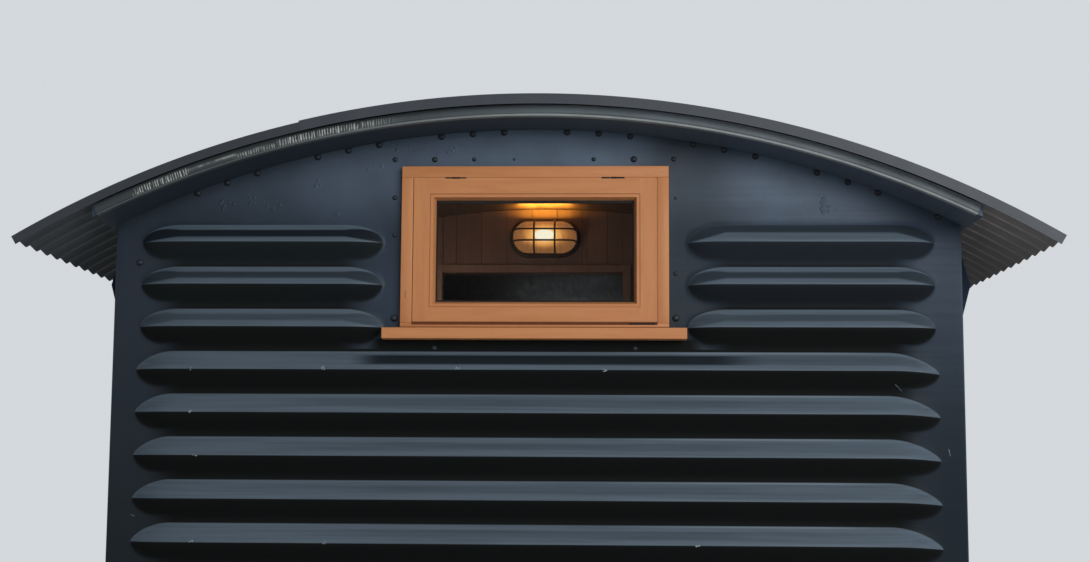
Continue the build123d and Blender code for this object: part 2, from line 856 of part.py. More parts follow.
guard_half_width = lamp_width / 2 - seat
guard_half_height = lamp_height / 2 - seat
with BuildPart() as lamp_guard:
    with BuildSketch(across(glass_back)):
        with Locations((lamp_x, lamp_z)):
            SlotOverall(2 * guard_half_width, 2 * guard_half_height)
            SlotOverall(
                2 * (guard_half_width - lamp_rim), 2 * (guard_half_height - lamp_rim), mode=Mode.SUBTRACT
            )
    extrude(amount=guard_wire)
    for x in (-guard_bar_x, guard_bar_x):
        points = hoop_points(guard_half_height - guard_wire / 2, glass_half_height + guard_clear)
        with BuildSketch(lengthwise(lamp_x + x - guard_wire / 2)):
            with BuildLine():
                Polyline(*[(y, lamp_z + z) for z, y in points], close=True)
            make_face()
        extrude(amount=guard_wire)
    for z in (-guard_bar_z, guard_bar_z):
        round_off = guard_half_height - sqrt(guard_half_height**2 - z**2)
        reach = guard_half_width - round_off - guard_wire / 2
        points = hoop_points(reach, glass_half_width + guard_clear)
        with BuildSketch(Plane.XY.offset(lamp_z + z - guard_wire / 2)):
            with BuildLine():
                Polyline(*[(lamp_x + x, y) for x, y in points], close=True)
            make_face()
        extrude(amount=guard_wire)
lamp_guard.part.label = "lamp_guard"
export_step(lamp_guard.part, "parts/lamp_guard.step")
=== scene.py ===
"""Looks of a railway goods van body made into a tiny house: its meshes, finishes, lamps and camera."""

import logging
import math
import random
from dataclasses import dataclass
from enum import Enum
from functools import reduce
from typing import Optional, Sequence, Union

import bmesh
import bpy
from mathutils import Matrix, Vector, noise


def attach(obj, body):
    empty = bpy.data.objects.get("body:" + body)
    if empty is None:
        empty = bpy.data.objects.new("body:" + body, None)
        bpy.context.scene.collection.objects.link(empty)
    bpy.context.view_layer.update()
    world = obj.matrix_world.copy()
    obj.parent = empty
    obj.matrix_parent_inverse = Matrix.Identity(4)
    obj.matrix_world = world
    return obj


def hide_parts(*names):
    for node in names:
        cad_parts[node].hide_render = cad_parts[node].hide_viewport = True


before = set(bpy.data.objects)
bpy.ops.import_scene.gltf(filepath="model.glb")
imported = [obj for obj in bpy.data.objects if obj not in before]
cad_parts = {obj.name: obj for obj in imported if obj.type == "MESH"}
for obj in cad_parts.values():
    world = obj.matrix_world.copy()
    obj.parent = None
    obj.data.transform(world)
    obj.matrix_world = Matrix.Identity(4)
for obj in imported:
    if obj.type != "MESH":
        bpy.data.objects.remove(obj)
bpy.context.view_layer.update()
log = logging.getLogger("van_body")

Pair = tuple[float, float]
Point = tuple[float, float, float]
Colour = tuple[float, float, float]
Place = Sequence[float]
Socket = bpy.types.NodeSocket
Material = bpy.types.Material
Mesh = bmesh.types.BMesh
Value = Union[float, Colour, Socket]


class Grain(Enum):
    """Which way the grain of a timber runs."""

    ACROSS = (3.0, 40.0, 40.0)
    ALONG = (40.0, 3.0, 40.0)
    UP = (40.0, 40.0, 3.0)


class Side(Enum):
    """An end or a long side of the van."""

    @property
    def word(self) -> str:
        """The side's word in the names of its nodes and pieces."""
        return self.name.lower()


class End(Side):
    """The two ends of the van, by the way they face along Y."""

    FRONT = -1
    BACK = 1


class Hand(Side):
    """The two long sides of the van, by the way they face along X."""

    LEFT = -1
    RIGHT = 1


@dataclass(frozen=True)
class Shell:
    """Main sizes of the van body in metres, as the solids have them."""

    half_width: float = 1.22
    half_length: float = 2.667
    sheet_bottom: float = 0.3
    solebar_top: float = 0.354
    floor_top: float = 0.414
    eave: float = 2.394
    roof_rise: float = 0.281
    deck_thickness: float = 0.029
    deck_half: float = 1.235
    lining_front: float = 2.6554
    lining_back: float = 2.592
    side_face: float = 1.2137
    side_inner: float = 1.1497
    seat: float = 0.0003

    @property
    def roof_radius(self) -> float:
        """Radius of the underside of the roof deck."""
        return (self.half_width**2 + self.roof_rise**2) / (2 * self.roof_rise)

    @property
    def roof_centre(self) -> float:
        """Height of the roof circle's centre."""
        return self.eave + self.roof_rise - self.roof_radius

    def arch(self, x: float, radius: Optional[float] = None) -> float:
        """Height of a roof circle at one X.

        Args:
            x: distance from the van's middle.
            radius: radius of the circle, that of the deck's underside if left out.

        Returns:
            The height above the ground.
        """
        return self.roof_centre + math.sqrt((radius or self.roof_radius) ** 2 - x * x)


SHELL = Shell()


@dataclass(frozen=True)
class Pressing:
    """Sizes in metres of the ribs that are pressed into each end."""

    pitch: float = 0.1228
    rows: int = 16
    top_level: float = 2.34
    half_height: float = 0.054
    depth: float = 0.0405
    taper: float = 0.11
    right_taper: float = 0.15
    droop: float = 0.008
    long_half: float = 1.149
    short_inner: float = 0.439
    short_outer: float = 1.141
    short_rows: int = 3

    def swell(self, x: float, z: float) -> float:
        """How far the pressing stands out of the sheet.

        Args:
            x: distance from the van's middle.
            z: height.

        Returns:
            The depth of the pressing there.
        """
        row = round((self.top_level - z) / self.pitch)
        short = row < self.short_rows
        reach = min(abs(x) - self.short_inner, self.short_outer - abs(x)) if short else self.long_half - abs(x)
        if not 0 <= row < self.rows or reach < -0.03:
            return 0.0
        long_right = x > 0 and not short
        near = min(reach / (self.right_taper if long_right else self.taper), 1.0)
        spent = 1 - max(near, 0.0)
        full = 1 - spent**2
        share = (math.sqrt(full) + (math.sqrt(full) if short else full)) / 2 if near > 0 else 2 * near
        crest = self.top_level - row * self.pitch - (self.droop * spent**2 if long_right else 0.0)
        up = abs(z - crest) / self.half_height
        if up > 1.25:
            return 0.0
        over = share - math.sqrt(up * up + 0.022)
        return self.depth * 0.5 * (over + math.sqrt(over * over + 0.016))


PRESSING = Pressing()


# Finishes


class Recipe:
    """Short calls that lay out the nodes of one material."""

    def __init__(self, name: str) -> None:
        """Start a material with one shader.

        Args:
            name: the material's name.
        """
        self.material = bpy.data.materials.new(name)
        self.material.use_nodes = True
        self.tree = self.material.node_tree
        self.shader = self.tree.nodes["Principled BSDF"]
        self.place = self.tree.nodes.new("ShaderNodeTexCoord").outputs["Object"]
        self.normal = self.tree.nodes.new("ShaderNodeNewGeometry").outputs["Normal"]
        self.base: Value = (1.0, 1.0, 1.0)

    def put(self, socket: Socket, value: Value) -> None:
        """Set an input, or link it where the value is an output.

        Args:
            socket: the input.
            value: a number, a colour or an output.
        """
        if isinstance(value, bpy.types.NodeSocket):
            self.tree.links.new(value, socket)
        elif isinstance(value, tuple) and socket.type == "RGBA":
            socket.default_value = (*value, 1.0)
        else:
            socket.default_value = value

    def node(self, kind: str, inputs: dict[Union[int, str], Value], **settings: object) -> bpy.types.Node:
        """Add one node.

        Args:
            kind: the node's type, without its ShaderNode prefix.
            inputs: its inputs by name or place.
            settings: its other properties.

        Returns:
            The node.
        """
        made = self.tree.nodes.new("ShaderNode" + kind)
        for key, setting in settings.items():
            setattr(made, key, setting)
        for key, value in inputs.items():
            self.put(made.inputs[key], value)
        return made

    def mapped(self, scale: Point) -> Socket:
        """Object coordinates, stretched."""
        return self.node("Mapping", {"Vector": self.place, "Scale": scale}).outputs[0]

    def noise(
        self, scale: float, detail: float = 4.0, rough: float = 0.55, at: Optional[Socket] = None, swirl: float = 0.0
    ) -> Socket:
        """Fractal noise from 0 to 1."""
        shape = {"Scale": scale, "Detail": detail, "Roughness": rough, "Distortion": swirl}
        return self.node("TexNoise", {"Vector": at or self.place, **shape}).outputs["Fac"]

    def span(self, value: Value, low: float, high: float, to_low: float = 0.0, to_high: float = 1.0) -> Socket:
        """Map a range to another, smoothly and with its ends held."""
        inputs = {"Value": value, "From Min": low, "From Max": high, "To Min": to_low, "To Max": to_high}
        return self.node("MapRange", inputs, interpolation_type="SMOOTHSTEP").outputs[0]

    def math(self, operation: str, first: Value, second: Value = 0.0, third: Value = 0.0) -> Socket:
        """One sum on numbers."""
        return self.node("Math", {0: first, 1: second, 2: third}, operation=operation).outputs[0]

    def product(self, *values: Value) -> Socket:
        """Numbers multiplied together."""
        return reduce(lambda made, value: self.math("MULTIPLY", made, value), values)

    def total(self, *values: Value) -> Socket:
        """Numbers added up."""
        return reduce(lambda made, value: self.math("ADD", made, value), values)

    def less(self, first: Value, second: Value) -> Socket:
        """The first number less the second."""
        return self.math("SUBTRACT", first, second)

    def ratio(self, first: Value, second: Value) -> Socket:
        """The first number divided by the second."""
        return self.math("DIVIDE", first, second)

    def radius(self, first: Value, second: Value) -> Socket:
        """How far a point lies from where its two coordinates are nothing."""
        return self.math("SQRT", self.total(self.product(first, first), self.product(second, second)))

    def rest(self, value: Value) -> Socket:
        """What a share leaves of one."""
        return self.less(1.0, value)

    def between(self, share: Value, first: Value, second: Value) -> Socket:
        """A number part of the way from one to another."""
        return self.total(first, self.product(share, self.less(second, first)))

    def blend(self, share: Value, first: Value, second: Value) -> Socket:
        """Two colours mixed."""
        return self.node("Mix", {0: share, 6: first, 7: second}, data_type="RGBA").outputs[2]

    def part(self, axis: str, of: Optional[Socket] = None) -> Socket:
        """One coordinate of a vector, the place's own if none is given."""
        return self.node("SeparateXYZ", {0: of or self.place}).outputs[axis]

    def grooves(self, axis: str, pitch: float, width: float) -> Socket:
        """1 in each narrow groove between boards, 0 on their faces."""
        across = self.less(self.math("FRACT", self.ratio(self.part(axis), pitch)), 0.5)
        return self.span(self.math("ABSOLUTE", across), 0.5 - width / pitch, 0.5)

    def board(self, axis: str, pitch: float) -> Socket:
        """A number from 0 to 1 that differs from board to board."""
        along = self.math("FLOOR", self.ratio(self.part(axis), pitch))
        return self.node("TexWhiteNoise", {"W": along}, noise_dimensions="1D").outputs["Value"]

    def tone(self) -> Socket:
        """The number that each solid of a piece carries."""
        return self.node("Attribute", {}, attribute_name="tone").outputs["Fac"]

    def bump(self, height: Value, distance: float, strength: float = 1.0, under: Optional[Socket] = None) -> Socket:
        """A bump that can lie on another."""
        below = {"Normal": under} if under else {}
        return self.node("Bump", {"Height": height, "Distance": distance, "Strength": strength, **below}).outputs[0]

    def over(self, share: Value, colour: Value) -> None:
        """Lay a colour over the base so far."""
        self.base = self.blend(share, self.base, colour)

    def finish(self, rough: Value, normal: Optional[Socket] = None, gloss: float = 0.5, **fixed: float) -> None:
        """Fill in the shader, with the base as its colour.

        Args:
            rough: the roughness.
            normal: the bumped normal.
            gloss: the level of specular reflection.
            fixed: other inputs of the shader, by name with _ for a space.
        """
        inputs = {"Base Color": self.base, "Roughness": rough, "Specular IOR Level": gloss}
        for key, value in {**inputs, **fixed}.items():
            self.put(self.shader.inputs[key.replace("_", " ")], value)
        if normal is not None:
            self.put(self.shader.inputs["Normal"], normal)


@dataclass(frozen=True)
class Finish:
    """A finish of the van, laid out as the nodes of one material."""

    name: str

    def coat(self, r: Recipe) -> None:
        """Lay the finish's nodes.

        Args:
            r: the recipe to lay them in.
        """
        raise NotImplementedError

    def make(self) -> Material:
        """Make the material.

        Returns:
            The material, with every node laid.
        """
        r = Recipe(self.name)
        self.coat(r)
        return r.material


@dataclass(frozen=True)
class PaintedSteel(Finish):
    """Satin paint on pressed steel: cloudy, brushed, dusty on ledges, with painted shade underneath, chipped in places.
    """

    colour: Colour = (0.034, 0.047, 0.064)
    pale: Colour = (0.06, 0.078, 0.1)
    # The colour of the painted shade on faces that look down
    under: Colour = (0.008, 0.011, 0.012)
    rough: float = 0.3
    chips: float = 0.5
    dust: float = 0.4
    gloss: float = 0.5

    def coat(self, r: Recipe) -> None:
        """Lay its nodes."""
        cloud = r.noise(1.7, 5.0, 0.6)
        film = r.noise(1.0, 6.0, 0.65, r.mapped((9.0, 9.0, 3.0)))
        r.base = r.blend(r.span(cloud, 0.35, 0.7), self.colour, r.blend(0.35, self.colour, self.pale))
        r.over(r.product(r.span(film, 0.5, 0.8), 0.25), self.pale)
        up = r.part("Z", r.normal)
        dust = r.product(r.span(up, 0.2, 0.9), r.span(r.noise(12.0), 0.3, 0.75))
        r.over(r.product(dust, self.dust), (0.12, 0.13, 0.135))
        # Painted shade: faces that look down are darkened towards the under colour
        shade = r.span(up, -0.15, -0.5)
        r.over(r.product(shade, 0.85), self.under)
        speck = r.product(r.span(r.noise(95.0, 2.0), 0.70, 0.74), r.span(r.noise(6.0, 3.0), 0.52, 0.66))
        r.over(r.product(speck, self.chips), (0.2, 0.2, 0.19))
        rust = r.product(r.span(r.noise(55.0, 3.0), 0.67, 0.73), r.span(r.noise(3.1, 2.0), 0.56, 0.68))
        r.over(r.product(rust, self.chips), (0.09, 0.035, 0.014))
        rough = r.span(film, 0.25, 0.8, self.rough - 0.05, self.rough + 0.12)
        rough = r.total(rough, r.product(r.total(dust, shade), 0.22))
        brush = r.bump(r.noise(1.0, 3.0, 0.6, r.mapped((60.0, 60.0, 260.0))), 0.0006, 0.35)
        dents = r.bump(r.noise(7.0, 3.0, 0.45), 0.006, 0.35, brush)
        r.finish(rough, dents, self.gloss)


@dataclass(frozen=True)
class PressedPaint(Finish):
    """Navy pressed-end paint: painted light on the ribs' upper faces, painted shade in the hollows, darker low down."""

    # Wall colours, painted darker to the left and lighter near the arch to offset the roof's shadow
    left: Colour = (0.018, 0.0255, 0.0365)
    right: Colour = (0.0265, 0.043, 0.068)
    left_arch: Colour = (0.03, 0.041, 0.058)
    right_arch: Colour = (0.088, 0.121, 0.168)
    left_foot: Colour = (0.0065, 0.0088, 0.01)
    right_foot: Colour = (0.005, 0.0065, 0.008)
    # Painted light on the ribs' upper faces
    painted_lit_face: Colour = (0.073, 0.098, 0.124)
    # Painted highlight along the long ribs' top edges
    edge: Colour = (0.17, 0.21, 0.25)
    # Painted reflection: a dark band on the upper faces where the roof and sill are mirrored
    painted_dark_reflection: Colour = (0.0085, 0.0125, 0.0165)
    # Painted shade in the hollows, left and right, deepest for the lower rows; the left one also darkens the mottling
    left_shade_and_mottle: Colour = (0.0055, 0.0085, 0.0095)
    right_painted_shade: Colour = (0.0095, 0.0135, 0.0195)
    deepest_painted_shade: Colour = (0.0018, 0.0027, 0.0027)
    # Pale grit of wear, also used for the painted highlight on the sheet's outer edges
    rubbed: Colour = (0.1, 0.122, 0.14)

    def zones(self, r: Recipe) -> tuple[Socket, Socket, Socket, Socket, Socket]:
        """Where the painted light on the ribs' upper faces and the painted shade in their hollows lie.

        Args:
            r: the recipe to lay the nodes in.

        Returns:
            The shares of painted light, shade, dark reflection and top-edge highlight, and the number of the row.
        """
        p = PRESSING
        x, z = r.part("X"), r.part("Z")
        side = r.math("ABSOLUTE", x)
        on_right = r.math("GREATER_THAN", x, 0.0)
        drop = r.ratio(r.less(p.top_level, z), p.pitch)
        row = r.math("ROUND", drop)
        short = r.math("LESS_THAN", row, p.short_rows - 0.5)
        long_right = r.product(r.rest(short), on_right)
        inner = r.less(side, p.short_inner)
        short_reach = r.math("MINIMUM", inner, r.less(p.short_outer, side))
        reach = r.between(short, r.less(p.long_half, side), short_reach)
        near = r.ratio(reach, r.between(long_right, p.taper, p.right_taper))
        near = r.math("MINIMUM", r.math("MAXIMUM", near, 0.0), 1.0)
        spent = r.product(r.rest(near), r.rest(near))
        full = r.rest(spent)
        fuller = r.math("SQRT", full)
        outline = r.product(r.total(r.between(short, full, fuller), fuller), 0.5 * p.half_height)
        sunk = r.math("MAXIMUM", r.rest(r.product(near, 1.6)), 0.0)
        sunk = r.product(r.math("SQRT", r.rest(r.product(sunk, sunk))), p.half_height)
        above = r.product(r.less(row, drop), p.pitch)
        above = r.total(above, r.product(spent, long_right, p.droop))
        inside = r.less(outline, above)
        middle = (p.rows - 1) / 2
        ribbed = r.math("LESS_THAN", r.math("ABSOLUTE", r.less(row, middle)), p.rows / 2)
        # The ribs' upper faces, which carry the painted light
        over_crest = r.span(above, -0.0008, 0.0014)
        face = r.product(over_crest, r.span(inside, -0.0012, 0.0022), ribbed)
        top = r.math("LESS_THAN", row, 0.5)
        # Painted shade under each crest, along the strips between ribs and under the window sill
        lens = r.product(r.span(r.total(sunk, above), -0.003, 0.012), r.rest(over_crest))
        dark = r.product(r.math("MAXIMUM", lens, r.span(reach, 0.02, 0.13)), ribbed, r.rest(r.product(top, over_crest)))
        sill = r.product(r.span(side, 0.5, 0.44), r.span(z, 2.069, 2.058), r.span(z, 2.02, 2.026))
        shade_mask = r.product(r.math("MAXIMUM", dark, sill), r.rest(face))
        # A dark band of painted reflection on the upper faces of the top rows and near the sill
        down = r.rest(r.ratio(above, r.math("MAXIMUM", outline, 0.002)))
        fourth = r.math("COMPARE", row, float(p.short_rows), 0.5)
        high = r.product(top, on_right)
        wrap = r.between(short, 1.0, near)
        start = r.product(r.between(high, r.between(fourth, 0.3, 0.2), -0.2), wrap)
        stop = r.rest(r.product(r.between(high, r.between(fourth, r.between(top, 0.34, 0.28), 0.28), 0.53), wrap))
        band = r.product(r.span(r.less(down, start), -0.06, 0.06), r.span(r.total(near, short), 0.1, 0.5))
        band = r.product(band, r.span(r.less(stop, down), -0.07, 0.07))
        fade = r.span(x, 0.5, 0.68, 1.0, 0.3)
        weak = r.rest(r.total(short, fourth))
        on_short = r.product(short, r.less(1.05, r.total(r.product(row, 0.3), r.product(high, 0.25))))
        on_fourth = r.product(fourth, r.span(x, -0.54, -0.44), fade)
        amount = r.total(on_short, on_fourth, r.product(weak, r.span(x, -0.8, -0.3), fade, 0.26))
        # Painted highlight along the top edge of the long ribs, on the right half
        roll = r.product(face, r.span(inside, 0.0075, 0.003), r.span(x, 0.15, 0.6), r.span(x, 1.02, 0.8), 0.45)
        return face, shade_mask, r.product(band, amount, face), r.product(roll, r.rest(short)), row

    def coat(self, r: Recipe) -> None:
        """Lay its nodes."""
        x, z = r.part("X"), r.part("Z")
        face, shade_mask, dull, roll, row = self.zones(r)
        # Painted light on the wall: darker to the left, lighter under the arch against the roof's shadow; darker low
        # down
        across = r.span(x, -1.4, 0.5)
        wall = r.blend(across, self.left, self.right)
        arch = r.blend(across, self.left_arch, self.right_arch)
        arch = r.blend(r.span(x, 0.75, 1.2, 0.0, 0.6), arch, self.right)
        wall = r.blend(r.span(z, 2.36, 2.52), wall, arch)
        foot = r.blend(across, self.left_foot, self.right_foot)
        wall = r.blend(r.span(z, 2.4, 1.2, 0.0, 0.9), wall, foot)
        # Painted shade right of the window, at the wall's right edge and just under the roof's edge
        wall = r.blend(r.product(r.span(x, 0.25, 0.42), r.span(x, 0.68, 0.48), 0.65), wall, self.left_shade_and_mottle)
        margin = r.product(r.span(x, 0.9, 1.18), r.span(z, 2.4, 1.6, 0.2, 0.85))
        wall = r.blend(margin, wall, (0.004, 0.009, 0.015))
        radial = r.radius(x, r.less(z, SHELL.roof_centre))
        eaves = r.span(r.less(SHELL.roof_radius, radial), 0.03, 0.0, 0.0, 0.3)
        wall = r.blend(eaves, wall, self.left_shade_and_mottle)
        cloud = r.noise(3.1, 5.0, 0.6)
        wall = r.blend(r.span(cloud, 0.35, 0.75, 0.0, 0.35), wall, self.left_shade_and_mottle)
        film = r.noise(1.0, 5.0, 0.6, r.mapped((2.2, 30.0, 95.0)))
        # Painted light of the upper faces, mottled with the dark reflection colour and dimmer at the left edge
        light = r.blend(r.span(film, 0.35, 0.75, 0.0, 0.3), self.painted_lit_face, self.painted_dark_reflection)
        light = r.blend(r.span(x, -0.9, -1.15, 0.0, 0.25), light, self.left)
        # Painted shade in the hollows, deepest from the third row down
        deep = r.blend(r.span(x, -1.0, 1.0), self.left_shade_and_mottle, self.right_painted_shade)
        deep = r.blend(r.span(row, 0.0, 2.0), deep, self.deepest_painted_shade)
        r.base = r.blend(shade_mask, wall, deep)
        r.over(face, light)
        # The painted dark reflection band, then the painted highlight on the ribs' top edges
        r.over(dull, self.painted_dark_reflection)
        r.over(roll, self.edge)
        grit = r.product(r.span(r.noise(150.0, 2.0), 0.68, 0.74), r.span(r.noise(5.0, 3.0), 0.55, 0.7))
        r.over(r.product(grit, r.rest(shade_mask), 0.35), self.rubbed)
        # Painted highlight along the sheet's rounded outer edges
        rim = r.product(r.span(r.math("ABSOLUTE", x), 1.2148, 1.2168), r.span(x, -1.0, 1.0, 0.1, 0.2))
        r.over(rim, self.rubbed)
        brush = r.bump(r.noise(1.0, 3.0, 0.6, r.mapped((18.0, 60.0, 260.0))), 0.0005, 0.3)
        dents = r.bump(r.noise(6.0, 3.0, 0.45), 0.005, 0.3, brush)
        matt = r.math("MAXIMUM", shade_mask, r.product(margin, 0.8))
        rough = r.between(matt, r.span(film, 0.3, 0.8, 0.36, 0.5), 0.8)
        r.finish(rough, dents, 0.12)


@dataclass(frozen=True)
class PaintedBoards(Finish):
    """Satin paint on boards, with the grain telegraphing through and a little wear in patches."""

    grain: Grain
    colour: Colour = (0.036, 0.049, 0.066)
    pale: Colour = (0.075, 0.09, 0.105)

    def coat(self, r: Recipe) -> None:
        """Lay its nodes."""
        fibre = r.noise(1.0, 6.0, 0.62, r.mapped(self.grain.value), 0.4)
        r.base = r.blend(r.tone(), self.colour, r.blend(0.3, self.colour, self.pale))
        r.over(r.product(r.span(fibre, 0.55, 0.75), 0.35), self.pale)
        worn = r.product(r.span(r.noise(30.0, 4.0), 0.62, 0.72), r.span(r.noise(2.3), 0.5, 0.66))
        r.over(r.product(worn, 0.5), (0.17, 0.15, 0.125))
        low = r.span(r.part("Z"), 0.9, 0.4)
        splash = r.product(low, r.span(r.noise(9.0, 6.0), 0.4, 0.7))
        r.over(r.product(splash, 0.4), (0.13, 0.115, 0.09))
        grained = r.bump(fibre, 0.0016, 0.6)
        r.finish(r.span(fibre, 0.3, 0.7, 0.36, 0.52), grained, 0.45)


@dataclass(frozen=True)
class Varnished(Finish):
    """Orange-brown varnished timber with soft grain, darker pores and pale weathered patches."""

    grain: Grain
    colour: Colour = (0.42, 0.175, 0.068)
    dark: Colour = (0.34, 0.125, 0.043)
    light: Colour = (0.46, 0.21, 0.085)

    def coat(self, r: Recipe) -> None:
        """Lay its nodes."""
        at = r.mapped(tuple(1.4 * s for s in self.grain.value))
        growth = r.noise(0.8, 5.0, 0.55, at, 0.8)
        pores = r.noise(5.0, 3.0, 0.6, at)
        r.base = r.blend(r.span(growth, 0.3, 0.7), self.dark, self.light)
        r.over(0.68, self.colour)
        r.over(r.span(pores, 0.6, 0.78, 0.0, 0.2), (0.22, 0.075, 0.025))
        r.over(r.product(r.tone(), 0.12), self.dark)
        r.over(r.span(r.noise(7.0, 5.0), 0.5, 0.75, 0.0, 0.12), (0.46, 0.25, 0.14))
        grained = r.bump(pores, 0.0003, 0.5)
        r.finish(r.span(pores, 0.3, 0.8, 0.45, 0.6), grained, 0.2)


@dataclass(frozen=True)
class BareBoards(Finish):
    """Untreated or stained boards, with a tone for each, and joints where they are one solid."""

    grain: Grain
    colour: Colour
    dark: Colour
    rough: float = 0.7
    joints: str = "Y"
    pitch: float = 0.0

    def coat(self, r: Recipe) -> None:
        """Lay its nodes."""
        fibre = r.noise(1.0, 7.0, 0.65, r.mapped(self.grain.value), 0.7)
        r.base = r.blend(r.span(fibre, 0.3, 0.72), self.dark, self.colour)
        r.over(r.product(r.tone(), 0.35), self.dark)
        r.over(r.span(r.noise(4.0, 6.0), 0.5, 0.8, 0.0, 0.3), (0.2, 0.18, 0.15))
        grained = r.bump(fibre, 0.003, 0.7)
        if self.pitch > 0:
            joint = r.grooves(self.joints, self.pitch, 0.006)
            r.over(r.product(r.board(self.joints, self.pitch), 0.4), self.dark)
            r.over(joint, (0.01, 0.008, 0.006))
            grained = r.bump(r.rest(joint), 0.003, 0.9, grained)
        r.finish(r.span(fibre, 0.3, 0.7, self.rough - 0.1, self.rough + 0.1), grained)


@dataclass(frozen=True)
class ShadedDeck(Finish):
    """Dark roof deck, its darkness partly painted shade under the eaves, painted paler towards its right."""

    left: Colour = (0.024, 0.033, 0.045)
    right: Colour = (0.054, 0.073, 0.1)

    def coat(self, r: Recipe) -> None:
        """Lay its nodes."""
        fibre = r.noise(1.0, 6.0, 0.6, r.mapped(Grain.ALONG.value), 0.5)
        # Painted light: paler towards the right, where more light falls
        r.base = r.blend(r.span(r.part("X"), -0.8, 0.9), self.left, self.right)
        r.over(r.span(fibre, 0.45, 0.75, 0.0, 0.3), self.left)
        r.finish(0.6, r.bump(fibre, 0.001, 0.5), 0.2)


@dataclass(frozen=True)
class CoatedSheet(Finish):
    """Dusty coated corrugated steel, with painted shade under its left eaves and painted light under its right."""

    colour: Colour = (0.046, 0.053, 0.062)
    dust: Colour = (0.15, 0.148, 0.14)
    # Undersides: painted shade on the left with lightened recesses, painted light and ridge highlights on the right
    left_under: Colour = (0.053, 0.06, 0.063)
    left_recess_lightened: Colour = (0.088, 0.099, 0.104)
    right_under: Colour = (0.2, 0.186, 0.178)
    ridge_highlight: Colour = (0.34, 0.3, 0.26)
    hollow_radius: float = 2.8182

    def coat(self, r: Recipe) -> None:
        """Lay its nodes."""
        x = r.part("X")
        up = r.part("Z", r.normal)
        mottle = r.noise(3.0, 6.0, 0.65)
        r.base = r.blend(r.span(mottle, 0.35, 0.7), self.colour, r.blend(0.3, self.colour, self.dust))
        dust = r.product(r.span(up, 0.75, 1.0), r.span(r.noise(16.0, 5.0), 0.35, 0.75))
        r.over(r.product(dust, 0.4), self.dust)
        runs = r.noise(1.0, 5.0, 0.6, r.mapped((2.0, 26.0, 2.0)))
        r.over(r.span(runs, 0.5, 0.75, 0.0, 0.25), self.dust)
        away = r.less(r.part("Z"), SHELL.roof_centre)
        lift = r.less(r.radius(x, away), self.hollow_radius)
        # Painted highlights along the ridges under the right eaves
        line = r.span(lift, 0.0028, 0.0006)
        line = r.product(line, r.span(x, 1.2, 1.24), r.span(x, 1.42, 1.3), r.span(r.noise(30.0, 3.0), 0.3, 0.6))
        # Painted shade under the left eaves, the recesses lightened against their shade; painted light under the right
        under = r.blend(r.span(lift, 0.001, 0.013), self.left_under, self.left_recess_lightened)
        under = r.blend(r.span(x, -0.3, 0.3), under, self.right_under)
        under = r.blend(r.span(mottle, 0.4, 0.7, 0.0, 0.3), under, self.colour)
        under = r.blend(line, under, self.ridge_highlight)
        below = r.span(up, 0.1, -0.2)
        r.over(below, under)
        inwards = r.node("CombineXYZ", {0: r.product(x, -1.0), 1: 0.0, 2: r.product(away, -1.0)}).outputs[0]
        inwards = r.node("VectorMath", {0: inwards}, operation="NORMALIZE").outputs[0]
        flattened = r.node("Mix", {0: r.product(below, 0.85), 4: r.normal, 5: inwards}, data_type="VECTOR").outputs[1]
        coated = r.bump(mottle, 0.002, 0.25, flattened)
        r.finish(r.span(mottle, 0.2, 0.8, 0.4, 0.55), coated, 0.25)


@dataclass(frozen=True)
class FilmedMetal(Finish):
    """Dark coated or cast metal with a dull film and faint marks along it."""

    colour: Colour = (0.034, 0.039, 0.047)
    film: Colour = (0.057, 0.062, 0.069)
    dull: Colour = (0.025, 0.028, 0.034)

    def coat(self, r: Recipe) -> None:
        """Lay its nodes."""
        film = r.noise(5.0, 6.0, 0.65)
        marks = r.noise(1.0, 3.0, 0.6, r.mapped((12.0, 60.0, 160.0)))
        r.base = r.blend(r.span(film, 0.4, 0.75), self.colour, r.blend(0.4, self.colour, self.film))
        r.over(r.product(r.tone(), 0.6), self.dull)
        r.over(r.span(marks, 0.6, 0.8, 0.0, 0.2), self.film)
        filmed = r.bump(film, 0.001, 0.2)
        r.finish(r.span(film, 0.3, 0.8, 0.4, 0.55), filmed, 0.2)


